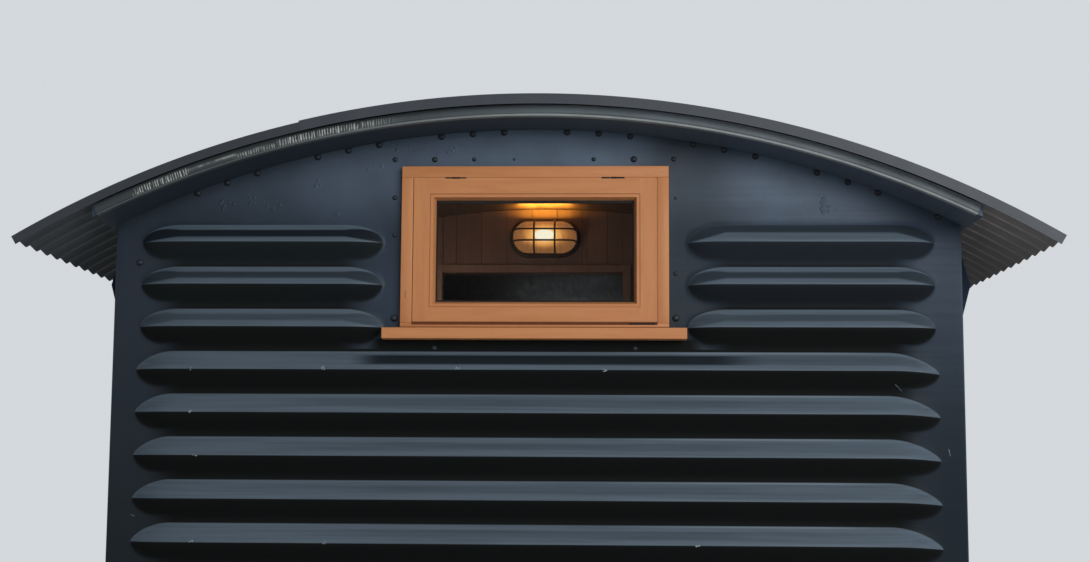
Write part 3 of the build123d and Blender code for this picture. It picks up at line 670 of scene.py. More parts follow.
@dataclass(frozen=True)
class WornTrim(Finish):
    """Grey metal trim under the roof's edge: pale rubbed strokes on the left half, painted light and shade on it."""

    colour: Colour = (0.078, 0.097, 0.11)
    dull: Colour = (0.036, 0.045, 0.048)
    dark: Colour = (0.022, 0.027, 0.031)
    pale: Colour = (0.14, 0.165, 0.185)
    rubbed: Colour = (0.46, 0.47, 0.45)
    foot: float = 2.7889
    height: float = 0.029

    def coat(self, r: Recipe) -> None:
        """Lay its nodes."""
        x, z = r.part("X"), r.less(r.part("Z"), SHELL.roof_centre)
        turn = r.math("ARCTAN2", x, z)
        up = r.ratio(r.less(r.radius(x, z), self.foot), self.height)
        film = r.noise(7.0, 6.0, 0.65)
        r.base = r.blend(r.span(x, -0.5, 0.35), self.dull, self.colour)
        r.over(r.span(film, 0.35, 0.75, 0.0, 0.45), self.dull)
        right = r.span(x, -0.2, 0.5)
        # Painted shade at the top of the left half, under the capping; painted light at the top of the right half
        r.over(r.product(r.span(up, 0.62, 0.95), r.rest(right), 0.4), self.dark)
        r.over(r.product(r.span(up, 0.6, 1.0), right, 0.7), self.pale)
        # A thin line of painted shade above the lip, on the right half
        line = r.product(r.span(up, 0.13, 0.17), r.span(up, 0.3, 0.26), r.span(x, 0.0, 0.2), 0.55)
        r.over(line, self.dark)
        along = r.node("CombineXYZ", {0: r.product(turn, 250.0), 1: r.product(up, 0.4)}).outputs[0]
        shaky = r.noise(1.0, 3.0, 0.6, along)
        phase = r.total(r.product(turn, 2300.0), r.product(up, -2.2), r.product(shaky, 14.0))
        strokes = r.product(r.span(r.math("SINE", phase), 0.1, 0.75), r.span(shaky, 0.34, 0.5))
        first = r.product(r.span(x, -1.125, -1.11), r.span(x, -0.96, -0.975))
        second = r.product(r.span(x, -0.73, -0.7), r.span(x, -0.34, -0.56))
        third = r.product(r.span(x, -0.85, -0.8), r.span(x, -0.7, -0.73), r.span(up, 0.6, 0.4), 0.7)
        band = r.product(r.span(up, -0.02, 0.08), r.span(up, 0.84, 0.7))
        rub = r.product(strokes, r.total(first, second, third), band, 0.8)
        r.over(rub, self.rubbed)
        streak = r.product(r.span(up, 0.35, 0.5), r.span(up, 0.7, 0.55), r.span(x, -0.98, -0.95))
        streak = r.product(streak, r.span(x, -0.74, -0.77), r.span(r.noise(22.0, 3.0), 0.4, 0.6), 0.4)
        r.over(streak, self.rubbed)
        r.finish(r.span(film, 0.3, 0.8, 0.42, 0.6), r.bump(film, 0.001, 0.25), 0.25)


@dataclass(frozen=True)
class BrightLip(Finish):
    """Folded zinc lip at the foot of the trim, its colour brightened as a painted highlight."""

    colour: Colour = (0.21, 0.235, 0.235)

    def coat(self, r: Recipe) -> None:
        """Lay its nodes."""
        film = r.noise(9.0, 5.0, 0.6)
        r.base = r.blend(r.span(film, 0.4, 0.7, 0.0, 0.5), self.colour, (0.1, 0.115, 0.12))
        # Painted shade: darker towards the left, where the lip catches less light
        r.over(r.span(r.part("X"), 0.2, -0.9, 0.0, 0.9), (0.038, 0.045, 0.048))
        r.finish(r.span(film, 0.3, 0.8, 0.4, 0.55), r.bump(film, 0.0008, 0.2), 0.3)


@dataclass(frozen=True)
class OldSteel(Finish):
    """Black frame steel with rust bloom and mud."""

    colour: Colour = (0.022, 0.023, 0.025)
    rust: Colour = (0.11, 0.042, 0.017)

    def coat(self, r: Recipe) -> None:
        """Lay its nodes."""
        bloom = r.noise(6.0, 7.0, 0.68)
        r.base = r.blend(r.span(bloom, 0.5, 0.66), self.colour, self.rust)
        r.over(r.product(r.span(r.noise(40.0, 4.0), 0.55, 0.7), 0.5), (0.045, 0.02, 0.011))
        mud = r.product(r.span(r.part("Z"), 0.42, 0.12), r.span(r.noise(8.0, 5.0), 0.35, 0.65))
        r.over(r.product(mud, 0.5), (0.14, 0.115, 0.085))
        r.finish(r.span(bloom, 0.4, 0.7, 0.55, 0.85), r.bump(r.noise(60.0, 5.0), 0.002, 0.6))


@dataclass(frozen=True)
class LitLens(Finish):
    """Amber prismatic glass lit by the bulb behind it, bright at the bulb and deep at its rim."""

    centre: Pair = (-0.008, 2.5514)
    half: Pair = (0.1177, 0.0587)
    bulb: Pair = (0.036, 0.021)
    bulb_rise: float = -0.001
    white: Colour = (1.0, 0.93, 0.7)
    halo: Colour = (0.95, 0.48, 0.13)
    amber: Colour = (0.56, 0.2, 0.045)
    deep: Colour = (0.2, 0.085, 0.03)

    def away(self, r: Recipe, half: Pair, rise: float) -> Socket:
        """How far a place lies from the lens's centre, where 1 is on an oval round it.

        Args:
            r: the recipe to lay the nodes in.
            half: half the oval's length and half its height.
            rise: how far above the centre the oval lies.

        Returns:
            The distance.
        """
        x = r.ratio(r.less(r.part("X"), self.centre[0]), half[0])
        return r.radius(x, r.ratio(r.less(r.part("Z"), self.centre[1] + rise), half[1]))

    def coat(self, r: Recipe) -> None:
        """Lay its nodes."""
        from_bulb = self.away(r, self.bulb, self.bulb_rise)
        from_middle = self.away(r, self.half, 0.0)
        prisms = r.noise(1.0, 2.0, 0.5, r.mapped((150.0, 10.0, 30.0)))
        glow = r.blend(r.span(from_middle, 0.45, 1.0), self.amber, self.deep)
        glow = r.blend(r.span(prisms, 0.42, 0.62, 0.0, 0.45), glow, self.deep)
        glow = r.blend(r.span(from_bulb, 2.3, 1.0), glow, self.halo)
        glow = r.blend(r.span(from_bulb, 1.25, 0.8), glow, self.white)
        r.put(r.shader.inputs["Emission Color"], glow)
        r.base = r.blend(r.span(prisms, 0.4, 0.7), (0.12, 0.05, 0.015), (0.05, 0.02, 0.008))
        waved = r.bump(prisms, 0.002, 0.5)
        r.finish(0.25, waved, 0.3, Emission_Strength=1.0)


@dataclass(frozen=True)
class Pane(Finish):
    """Clear window glass with a trace of dirt."""

    def coat(self, r: Recipe) -> None:
        """Lay its nodes."""
        smear = r.span(r.noise(9.0, 6.0, 0.6), 0.5, 0.8, 0.0, 0.05)
        r.base = (0.9, 0.92, 0.92)
        r.finish(smear, Transmission_Weight=1.0, IOR=1.12)


@dataclass(frozen=True)
class Rubber(Finish):
    """Dark rubber, bitumen or shadowed wood in a joint."""

    dark: Colour = (0.006, 0.006, 0.006)
    pale: Colour = (0.02, 0.019, 0.018)

    def coat(self, r: Recipe) -> None:
        """Lay its nodes."""
        r.base = r.blend(r.noise(60.0), self.dark, self.pale)
        r.finish(0.7, gloss=0.08)


# Shapes


class Solid:
    """Simple solids, each a small mesh made by operators."""

    @staticmethod
    def block(low: Place, high: Place, bevel: float = 0.0, segments: int = 1) -> Mesh:
        """A box with eased edges.

        Args:
            low: one of its corners.
            high: the corner across from it.
            bevel: how far its edges are eased.
            segments: faces across each eased edge.

        Returns:
            The mesh.
        """
        solid = bmesh.new()
        middle = [(a + b) / 2 for a, b in zip(low, high)]
        size = [abs(b - a) for a, b in zip(low, high)]
        place = Matrix.Translation(middle) @ Matrix.Diagonal((*size, 1.0))
        bmesh.ops.create_cube(solid, size=1.0, matrix=place)
        Solid.ease(solid, bevel, segments)
        return solid

    @staticmethod
    def face_out(solid: Mesh) -> None:
        """Turn every face of a solid outwards."""
        bmesh.ops.recalc_face_normals(solid, faces=solid.faces[:])

    @staticmethod
    def ease(solid: Mesh, bevel: float, segments: int = 1) -> None:
        """Ease every edge of a solid.

        Args:
            solid: the mesh.
            bevel: how far its edges are eased.
            segments: faces across each eased edge.
        """
        if bevel > 0:
            bmesh.ops.bevel(
                solid, geom=solid.edges[:], offset=bevel, offset_type="OFFSET", segments=segments, profile=0.5,
                affect="EDGES", material=-1, clamp_overlap=True,
            )

    @staticmethod
    def prism(outline: Sequence[Place], along: Place, bevel: float = 0.0) -> Mesh:
        """A flat outline pushed along a vector.

        Args:
            outline: its corners in order.
            along: the vector.
            bevel: how far its edges are eased.

        Returns:
            The mesh.
        """
        solid = bmesh.new()
        face = solid.faces.new([solid.verts.new(p) for p in outline])
        made = bmesh.ops.extrude_face_region(solid, geom=[face])["geom"]
        bmesh.ops.translate(solid, vec=along, verts=[v for v in made if isinstance(v, bmesh.types.BMVert)])
        Solid.face_out(solid)
        Solid.ease(solid, bevel)
        return solid

    @staticmethod
    def rod(start: Place, end: Place, radius: float, sides: int = 12) -> Mesh:
        """A round bar between two points.

        Args:
            start: the middle of its first end.
            end: the middle of its other end.
            radius: its radius.
            sides: how many faces go round it.

        Returns:
            The mesh.
        """
        solid = bmesh.new()
        run = Vector(end) - Vector(start)
        turn = Vector((0, 0, 1)).rotation_difference(run).to_matrix().to_4x4()
        place = Matrix.Translation((Vector(start) + Vector(end)) / 2) @ turn
        bmesh.ops.create_cone(
            solid, cap_ends=True, segments=sides, radius1=radius, radius2=radius, depth=run.length, matrix=place
        )
        return solid

    @staticmethod
    def dome(centre: Place, out: Place, radius: float, rise: float, sides: int = 12) -> Mesh:
        """A round head that stands on a face, its lower half sunk in.

        Args:
            centre: its middle on the face.
            out: the way it stands.
            radius: its radius.
            rise: its height.
            sides: how many faces go round it.

        Returns:
            The mesh.
        """
        solid = bmesh.new()
        turn = Vector((0, 0, 1)).rotation_difference(Vector(out)).to_matrix().to_4x4()
        place = Matrix.Translation(centre) @ turn @ Matrix.Diagonal((radius, radius, rise, 1.0))
        bmesh.ops.create_uvsphere(solid, u_segments=sides, v_segments=max(4, sides // 2), radius=1.0, matrix=place)
        return solid

    @staticmethod
    def tube(points: Sequence[Place], radius: float, closed: bool = False) -> Mesh:
        """A round wire through points.

        Args:
            points: the points it goes through.
            radius: its radius.
            closed: whether it joins up.

        Returns:
            The mesh.
        """
        curve = bpy.data.curves.new("wire", "CURVE")
        curve.dimensions = "3D"
        curve.bevel_depth = radius
        curve.bevel_resolution = 4
        curve.resolution_u = 6
        spline = curve.splines.new("NURBS")
        spline.points.add(len(points) - 1)
        for point, place in zip(spline.points, points):
            point.co = (*place, 1.0)
        spline.order_u = 3
        spline.use_cyclic_u = closed
        spline.use_endpoint_u = not closed
        curve.use_fill_caps = True
        holder = bpy.data.objects.new("wire", curve)
        mesh = bpy.data.meshes.new_from_object(holder)
        solid = bmesh.new()
        solid.from_mesh(mesh)
        bpy.data.objects.remove(holder)
        bpy.data.curves.remove(curve)
        bpy.data.meshes.remove(mesh)
        return solid

    @staticmethod
    def oval(centre: Point, half: Pair, depth: float, bevel: float) -> Mesh:
        """A flat body with two round ends, standing towards the front from its back face.

        Args:
            centre: the middle of its back face.
            half: half its length and half its height.
            depth: how far it stands out.
            bevel: how far its edges are eased.

        Returns:
            The mesh.
        """
        solid = bmesh.new()
        turn = Matrix.Rotation(math.pi / 2, 4, "X")
        for s in (-1, 1):
            place = Matrix.Translation((centre[0] + s * (half[0] - half[1]), centre[1] - depth / 2, centre[2])) @ turn
            bmesh.ops.create_cone(
                solid, cap_ends=True, segments=32, radius1=half[1], radius2=half[1], depth=depth, matrix=place
            )
        made = bmesh.ops.convex_hull(solid, input=solid.verts[:])
        spare = [g for g in made["geom_interior"] + made["geom_unused"] if isinstance(g, bmesh.types.BMVert)]
        bmesh.ops.delete(solid, geom=spare, context="VERTS")
        bmesh.ops.dissolve_limit(solid, angle_limit=math.radians(1), verts=solid.verts[:], edges=solid.edges[:])
        rims = [e for e in solid.edges if e.is_manifold and e.calc_face_angle() > math.radians(60)]
        bmesh.ops.bevel(
            solid, geom=rims, offset=bevel, offset_type="OFFSET", segments=3, profile=0.5, affect="EDGES", material=-1,
        )
        Solid.face_out(solid)
        return solid

    @staticmethod
    def cut(solid: Mesh, place: Place, away: Place) -> None:
        """Cut off what lies beyond a plane and close the cut.

        Args:
            solid: the mesh.
            place: a point of the plane.
            away: the way to the part that goes.
        """
        geometry = solid.verts[:] + solid.edges[:] + solid.faces[:]
        bmesh.ops.bisect_plane(solid, geom=geometry, plane_co=place, plane_no=away, clear_outer=True)
        bmesh.ops.holes_fill(solid, edges=[e for e in solid.edges if e.is_boundary], sides=0)
        Solid.face_out(solid)


class Piece:
    """One object in the making: solids are gathered, then it rides on the van and takes its finishes."""

    def __init__(self, name: str, slot: str, finishes: Sequence[Material], side: Optional[Side] = None) -> None:
        """Start a piece.

        Args:
            name: its name, without the word of its side.
            slot: the name of a record slot; it is stored but not used.
            finishes: its materials.
            side: the end or long side it belongs to. Its solids are made for the front or the right.
        """
        self.side = side
        self.name = self.full(name)
        self.slot = slot
        self.finishes = finishes
        self.bm = bmesh.new()
        self.bm.verts.layers.float.new("tone")
        self.random = random.Random(self.name)

    def full(self, name: str) -> str:
        """A name with the word of the piece's side before it."""
        return self.side.word + "_" + name if self.side else name

    def add(self, solid: Mesh, finish: int = 0, tone: Optional[float] = None) -> None:
        """Gather one solid.

        Args:
            solid: the mesh, which is used up.
            finish: which of the piece's materials it takes.
            tone: the number it carries, picked at random if left out.
        """
        layer = solid.verts.layers.float.get("tone") or solid.verts.layers.float.new("tone")
        value = self.random.random() if tone is None else tone
        for vert in solid.verts:
            vert[layer] = value
        for face in solid.faces:
            face.material_index = finish
        step = bpy.data.meshes.new("step")
        solid.to_mesh(step)
        solid.free()
        self.bm.from_mesh(step)
        bpy.data.meshes.remove(step)

    def done(self, replaces: str = "", smooth: float = 35.0) -> None:
        """Mirror the piece to its own side and make the object.

        Args:
            replaces: the solid it stands for, without the word of its side.
            smooth: the angle in degrees up to which edges are smooth.
        """
        flip = {End.BACK: (1, -1, 1), Hand.LEFT: (-1, 1, 1)}.get(self.side)
        if flip:
            bmesh.ops.scale(self.bm, vec=flip, verts=self.bm.verts[:])
            bmesh.ops.reverse_faces(self.bm, faces=self.bm.faces[:])
        mesh = bpy.data.meshes.new(self.name)
        self.bm.to_mesh(mesh)
        self.bm.free()
        for material in self.finishes:
            mesh.materials.append(material)
        mesh.shade_smooth()
        mesh.set_sharp_from_angle(angle=math.radians(smooth))
        made = bpy.data.objects.new(self.name, mesh)
        bpy.context.scene.collection.objects.link(made)
        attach(made, "root")
        if replaces:
            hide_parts(self.full(replaces))
        log.info("%s: %d faces", self.name, len(mesh.polygons))


# The ends


@dataclass(frozen=True)
class EndWall:
    """One pressed steel end with its ribs, rivets and old knocks."""

    end: End
    paint: Material
    rivet_paint: Material
    bare: Material
    thickness: float = 0.005
    edge_round: float = 0.004
    opening_half: float = 0.387
    opening_low: float = 2.093
    opening_high: float = 2.5645
    fan_low: float = 2.3925
    rivet_radius: float = 0.0102
    rivet_rise: float = 0.007
    rivet_step: float = 0.0916
    rivet_drop: float = 0.0065
    head_rivets: float = 2.5866
    edge_rivets: float = 1.188
    foot_rivets: float = 0.345
    wave: float = 0.0016

    def columns(self) -> list[float]:
        """Places across the end where the mesh has a line, closer where the ribs end.

        Returns:
            The values of X, lowest first.
        """
        right = [0.0]
        coarse = ((self.opening_half, 0.02), (0.43, 0.012), (0.58, 0.0072))
        for stop, step in (*coarse, (1.0, 0.018), (1.156, 0.0072), (1.216, 0.012)):
            start = right[-1]
            count = max(1, round((stop - start) / step))
            right += [start + (stop - start) * (i + 1) / count for i in range(count)]
        right += [1.2175, 1.2188, 1.2196, SHELL.half_width]
        return sorted({-x for x in right} | set(right))

    def rows(self) -> list[float]:
        """Heights where the mesh has a line, then the steps of the fan above the ribs.

        Returns:
            The heights, then fan_low plus a step for each line of the fan: 0 to 1 below the shelf, 1 to 2 above it.
        """
        p = PRESSING
        steps = (0.0, 0.003, 0.0075, 0.013, 0.021, 0.03, 0.039, 0.047, 0.053, 0.0595)
        lines = {p.top_level - r * p.pitch + s * o for r in range(p.rows) for o in steps for s in (-1, 1)}
        lines = {z for z in lines if z < self.fan_low - 0.002 and abs(z - self.opening_low) > 0.002}
        bottom = min(lines)
        foot = [SHELL.sheet_bottom + (bottom - SHELL.sheet_bottom) * i / 6 for i in range(6)]
        fan = [self.fan_low + i / 8 for i in range(17)]
        return sorted([*foot, *lines, self.opening_low]) + fan

    def height(self, row: float, x: float) -> float:
        """Height of a mesh line at one X, where the lines above the ribs fan out to follow the roof.

        Args:
            row: one of the rows.
            x: distance from the van's middle.

        Returns:
            The height.
        """
        fan = row - self.fan_low
        if fan <= 0:
            return row
        arch = SHELL.arch(x) - SHELL.seat
        share = (self.opening_high - self.fan_low) / (SHELL.arch(self.opening_half) - self.fan_low)
        over_window = abs(x) <= self.opening_half + 1e-6
        shelf = self.opening_high if over_window else self.fan_low + share * (arch - self.fan_low)
        if fan <= 1:
            return self.fan_low + (shelf - self.fan_low) * fan
        return shelf + (arch - shelf) * (fan - 1)

    def ripple(self, x: float, z: float) -> float:
        """Slight waves and knocks of an old sheet.

        Args:
            x: distance from the van's middle.
            z: height.

        Returns:
            How far the sheet stands out there.
        """
        seed = 3.0 * self.end.value
        broad = noise.noise(Vector((x * 2.3, z * 2.6, seed)))
        return self.wave * (broad + 0.4 * noise.noise(Vector((x * 7.0, z * 8.0, seed + 5))))

    def surface(self, x: float, z: float) -> float:
        """The sheet's outer face, with rounded outer edges.

        Args:
            x: distance from the van's middle.
            z: height.

        Returns:
            Its Y there.
        """
        edge = min(SHELL.half_width - abs(x), z - SHELL.sheet_bottom, SHELL.arch(x) - z, 0.05) / 0.05
        past = max(0.0, abs(x) - SHELL.half_width + self.edge_round) / self.edge_round
        rounding = self.edge_round * (1 - math.sqrt(max(0.0, 1 - past * past)))
        return -SHELL.half_length - PRESSING.swell(x, z) - self.ripple(x, z) * max(0.0, edge) + rounding

    def sheet(self) -> None:
        """The pressed sheet itself, as one closed mesh."""
        columns, rows = self.columns(), self.rows()
        piece = Piece("pressed_sheet", "navy_steel", [self.paint], self.end)
        solid = bmesh.new()
        bmesh.ops.create_grid(solid, x_segments=len(columns) - 1, y_segments=len(rows) - 1, size=0.5)
        for vert in solid.verts:
            x = columns[round((vert.co.x + 0.5) * (len(columns) - 1))]
            z = self.height(rows[round((vert.co.y + 0.5) * (len(rows) - 1))], x)
            vert.co = (x, self.surface(x, z), z)
        inside = [
            f for f in solid.faces
            if abs(f.calc_center_median().x) < self.opening_half
            and self.opening_low < f.calc_center_median().z < self.opening_high
        ]
        bmesh.ops.delete(solid, geom=inside, context="FACES")
        edges = [e for e in solid.edges if e.is_boundary]
        made = bmesh.ops.extrude_edge_only(solid, edges=edges)["geom"]
        for vert in (v for v in made if isinstance(v, bmesh.types.BMVert)):
            vert.co.y = -SHELL.half_length + self.thickness
        bmesh.ops.triangle_fill(solid, use_beauty=True, edges=[e for e in solid.edges if e.is_boundary])
        Solid.face_out(solid)
        piece.add(solid, tone=0.5)
        piece.done("end_sheet", smooth=40.0)

    def rivets(self) -> None:
        """Rivet heads under the roof, round the window, down the edges and along the foot."""
        piece = Piece("end_rivets", "navy_steel", [self.rivet_paint], self.end)
        radius = SHELL.roof_radius - self.rivet_drop
        spots: list[Point] = []
        for k in (1, 2, 3, 5, 6, 7, 9, 10, 11, 13):
            for side in (-1, 1) if k < 13 else (1,):
                turn = side * k * self.rivet_step / radius
                spots.append((radius * math.sin(turn), SHELL.roof_centre + radius * math.cos(turn), 1.0))
        head = ((-0.409, 0.75), (-0.293, 0.85), (-0.178, 0.65), (-0.062, 0.4))
        spots += [(x, self.head_rivets, share) for x, share in (*head, (0.169, 0.65), (0.285, 0.95), (0.4, 0.75))]
        spots += [(-0.408, 2.4738, 0.7), (-0.407, 2.3644, 0.7), (-0.4045, 2.122, 1.05)]
        spots += [(0.405, 2.4725, 0.45), (0.405, 2.2526, 0.65), (0.405, 2.1236, 1.05)]
        spots += [(-0.288, 2.036, 0.8), (0.288, 2.036, 0.8), (-1.1495, 2.2834, 1.0)]
        spots += [(s * self.edge_rivets, 0.52 + 0.307 * i, 1.0) for i in range(2) for s in (-1, 1)]
        spots += [(-1.1 + 0.22 * i, self.foot_rivets, 1.0) for i in range(11)]
        for x, z, share in spots:
            centre = (x, -SHELL.half_length - self.ripple(x, z) + 0.0004, z)
            piece.add(Solid.dome(centre, (0, -1, 0), share * self.rivet_radius, share * self.rivet_rise))
        piece.done(smooth=60.0)

    def blisters(self) -> None:
        """Clusters of blistered paint above the ribs."""
        piece = Piece("paint_blisters", "navy_steel", [self.paint], self.end)
        places = (
            (-0.652, 2.514), (-0.902, 2.447), (-0.575, 2.421), (-0.822, 2.462), (-0.753, 2.453), (-0.479, 2.555),
            (-0.4, 2.622), (0.83, 2.462), (0.835, 2.44), (-0.25, 2.62),
        )
        for x, z in places:
            for _ in range(9):
                at = x + piece.random.gauss(0, 0.013), z + piece.random.gauss(0, 0.008)
                size = piece.random.uniform(0.0025, 0.007)
                centre = (at[0], self.surface(*at) + 0.0003, at[1])
                piece.add(Solid.dome(centre, (0, -1, 0), size, 0.28 * size, 8))
        piece.done(smooth=60.0)

    def knocks(self) -> None:
        """Small bright chips on the ribs' crests and a few scratches."""
        piece = Piece("paint_chips", "navy_steel", [self.bare], self.end)
        chips = (
            (-0.981, 1.972), (-0.601, 1.974), (-0.982, 1.849), (-0.962, 1.727), (-0.965, 1.482), (-0.588, 1.482),
            (-0.215, 1.973), (0.202, 1.971), (0.46, 1.48),
        )
        for x, z in chips:
            for _ in range(4):
                at = x + piece.random.uniform(-0.006, 0.006), z + piece.random.uniform(-0.003, 0.004)
                size = piece.random.uniform(0.0012, 0.0032)
                centre = (at[0], self.surface(*at) + 0.0002, at[1])
                piece.add(Solid.dome(centre, (0, -1, 0), size, 0.3 * size, 8))
        scratches = ((-1.145, 1.554, 0.012, -0.004), (1.031, 1.926, 0.02, -0.018), (1.172, 1.744, 0.004, -0.02))
        for x, z, run, drop in scratches:
            ends = [(x + s * run / 2, z + s * drop / 2) for s in (-1, 1)]
            piece.add(Solid.rod(*[(a, self.surface(a, b), b) for a, b in ends], 0.0007, 6))
        piece.done(smooth=60.0)

    def build(self) -> None:
        """Make every piece of the end."""
        self.sheet()
        self.rivets()
        self.blisters()
        self.knocks()


@dataclass(frozen=True)
class TopHungWindow:
    """One timber window: frame through the wall, sash hung from its head, moulding, hinge slots and sill."""

    end: End
    level: Material
    upright: Material
    rubber: Material
    shadowed: Material
    half_width: float = 0.385
    low: float = 2.095
    high: float = 2.5625
    face: float = 0.033
    bottom_face: float = 0.012
    front: float = -2.687
    back: float = -SHELL.lining_back
    stop: float = 0.018
    sash_gap: float = 0.002
    sash_depth: float = 0.045
    fit: float = 0.0021
    fit_sunk: float = 0.0024
    glass_half: float = 0.2855
    glass_low: float = 2.17
    glass_high: float = 2.465
    glass_front: float = -2.666
    slope: float = 0.0074
    strip: float = 0.0098
    step: float = 0.002
    sill_half: float = 0.4335
    sill_nose: float = -2.717
    sill_low: float = 2.0592
    sill_high: float = 2.0907
    sill_fall: float = 0.004

    def frame_members(self) -> None:
        """Head, bottom and jambs of the fixed frame, with their stops."""
        piece = Piece("frame_timbers", "window_timber", [self.level, self.upright], self.end)
        w, y0, y1 = self.half_width, self.front, self.back
        rear = self.front + self.sash_gap + self.sash_depth + SHELL.seat
        ease = 0.0016
        inner_low, inner_high, inner = self.low + self.bottom_face, self.high - self.face, w - self.face
        piece.add(Solid.block((-w, y0, inner_high), (w, y1, self.high), ease, 2), 0, 0.3)
        piece.add(Solid.block((-w, y0, self.low), (w, y1, inner_low), ease, 2), 0, 0.2)
        for s in (-1, 1):
            piece.add(Solid.block((s * w, y0 + 0.0001, inner_low), (s * inner, y1, inner_high), 0.0012, 2), 1, 0.2)
            a, b = (s * inner, rear, inner_low + self.stop), (s * (inner - self.stop), y1, inner_high - self.stop)
            piece.add(Solid.block(a, b, 0.001), 1)
        piece.add(Solid.block((-inner, rear, inner_low), (inner, y1, inner_low + self.stop), 0.001), 0)
        piece.add(Solid.block((-inner, rear, inner_high - self.stop), (inner, y1, inner_high), 0.001), 0)
        # Tight fit of the sash on its right and at its head
        y0, y1 = y0 + self.fit_sunk, y0 + 0.03
        piece.add(Solid.block((inner - self.fit, y0, inner_low), (inner + 0.001, y1, inner_high)), 1, 1.0)
        piece.add(Solid.block((-inner, y0, inner_high - self.fit), (inner, y1, inner_high + 0.001)), 0, 1.0)
        piece.done("window_frame")

    def sash(self) -> None:
        """Rails and stiles of the sash, with a flat strip and a slope down to the glass."""
        piece = Piece("sash_timbers", "window_timber", [self.level, self.upright], self.end)
        half = self.half_width - self.face - self.sash_gap
        low, high = self.low + self.bottom_face + self.sash_gap, self.high - self.face - self.sash_gap
        y0 = self.front + self.sash_gap
        y1 = y0 + self.sash_depth
        near = self.slope
        far = self.slope + self.strip
        g = self.glass_half
        for s in (-1, 1):
            piece.add(Solid.block((s * half, y0, low), (s * (g + far), y1, high)), 1, 0.3)
        piece.add(Solid.block((-g - far, y0, low), (g + far, y1, self.glass_low - far)), 0, 0.3)
        piece.add(Solid.block((-g - far, y0, self.glass_high + far), (g + far, y1, high)), 0, 0.3)
        y = y0 + self.step
        rear = y1 - 0.0002
        for s in (-1, 1):
            a, b = (s * (g + near), y, self.glass_low - far), (s * (g + far), rear, self.glass_high + far)
            piece.add(Solid.block(a, b), 1, 0.5)
        for z, s in ((self.glass_low, -1), (self.glass_high, 1)):
            piece.add(Solid.block((-g - near, y, z + s * near), (g + near, rear, z + s * far)), 0, 0.5)
        for s in (-1, 1):
            outline = [
                (s * (g + near), y, self.glass_low - near), (s * (g + near), y, self.glass_high + near),
                (s * g, self.glass_front, self.glass_high), (s * g, self.glass_front, self.glass_low),
            ]
            piece.add(self.wedge(outline, [(a, y1 - 0.0004, c) for a, _, c in outline]), 1, 0.8)
        for z, s in ((self.glass_low, -1), (self.glass_high, 1)):
            outline = [
                (-g - near, y, z + s * near), (g + near, y, z + s * near),
                (g, self.glass_front, z), (-g, self.glass_front, z),
            ]
            piece.add(self.wedge(outline, [(a, y1 - 0.0004, c) for a, _, c in outline]), 0, 0.8)
        piece.done("window_sash")

    @staticmethod
    def wedge(front: Sequence[Place], back: Sequence[Place]) -> Mesh:
        """A solid between two four-sided faces.

        Args:
            front: the corners of the first.
            back: the corners of the other.

        Returns:
            The mesh.
        """
        solid = bmesh.new()
        bmesh.ops.convex_hull(solid, input=[solid.verts.new(p) for p in (*front, *back)])
        Solid.face_out(solid)
        return solid

    def trimmings(self) -> None:
        """Black glazing seal, uneven slots over both hinges, a split in one jamb, and painted shadow in the sash's
        gaps.
        """
        piece = Piece("window_seals", "lamp_body", [self.rubber, self.shadowed], self.end)
        y = self.glass_front
        g, lo, hi, t = self.glass_half, self.glass_low, self.glass_high, 0.004
        piece.add(Solid.block((-g, y - 0.0012, lo), (g, y + 0.0004, lo + t)))
        piece.add(Solid.block((-g, y - 0.0012, hi - 2 * t), (g, y + 0.0004, hi)))
        for s in (-1, 1):
            piece.add(Solid.block((s * g, y - 0.0012, lo + t), (s * (g - t), y + 0.0004, hi - t)))
        top = self.high - self.face
        for start, runs in ((-0.259, ((0.0, 0.019, 0.0032), (0.019, 0.042, 0.0044), (0.042, 0.06, 0.003))),
                            (0.192, ((0.0, 0.024, 0.0036), (0.026, 0.044, 0.0046), (0.044, 0.066, 0.0038)))):
            for a, b, tall in runs:
                low = (start + a, self.front - 0.0009, top - 0.001 - tall / 2)
                piece.add(Solid.block(low, (start + b, self.front + 0.02, top - 0.001 + tall / 2), 0.0006))
        piece.add(Solid.block((-0.3712, self.front - 0.0003, 2.178), (-0.3702, self.front + 0.004, 2.2)))
        gap, inner = self.low + self.bottom_face, self.half_width - self.face
        # Painted shadow: dark strips in the sash's bottom gap and thin dark lines round the moulding's step
        piece.add(Solid.block((0.27, self.front - 0.0004, gap - 0.0045), (0.345, self.front + 0.02, gap)))
        piece.add(Solid.block((-inner, self.front - 0.0002, gap - 0.0055), (inner, self.front + 0.02, gap + 0.0034)), 1)
        y = self.front + self.sash_gap + self.step - SHELL.seat
        g, lo, hi, t = g + self.slope + self.strip, lo - self.slope - self.strip, hi + self.slope + self.strip, 0.0012
        for z in (lo, hi - t):
            piece.add(Solid.block((-g, y, z), (g, y + 0.002, z + t)), 1)
        for x in (-g, g - t):
            piece.add(Solid.block((x, y, lo + t), (x + t, y + 0.002, hi - t)), 1)
        piece.done()

    def sill(self) -> None:
        """The sill, with a sloped top, an eased nose and a drip groove under it."""
        piece = Piece("sill_timber", "window_timber", [self.level], self.end)
        half, back, nose, low = self.sill_half, -SHELL.half_length - SHELL.seat, self.sill_nose, self.sill_low
        outline = [
            (-half, back, low), (-half, nose + 0.014, low), (-half, nose + 0.014, low + 0.004),
            (-half, nose + 0.008, low + 0.004), (-half, nose + 0.008, low), (-half, nose, low),
            (-half, nose, self.sill_high), (-half, back, self.sill_high + self.sill_fall),
        ]
        piece.add(Solid.prism(outline, (2 * half, 0, 0), 0.0012), 0, 0.2)
        piece.done("window_sill")

    def build(self) -> None:
        """Make every piece of the window."""
        self.frame_members()
        self.sash()
        self.trimmings()
        self.sill()


# The roof


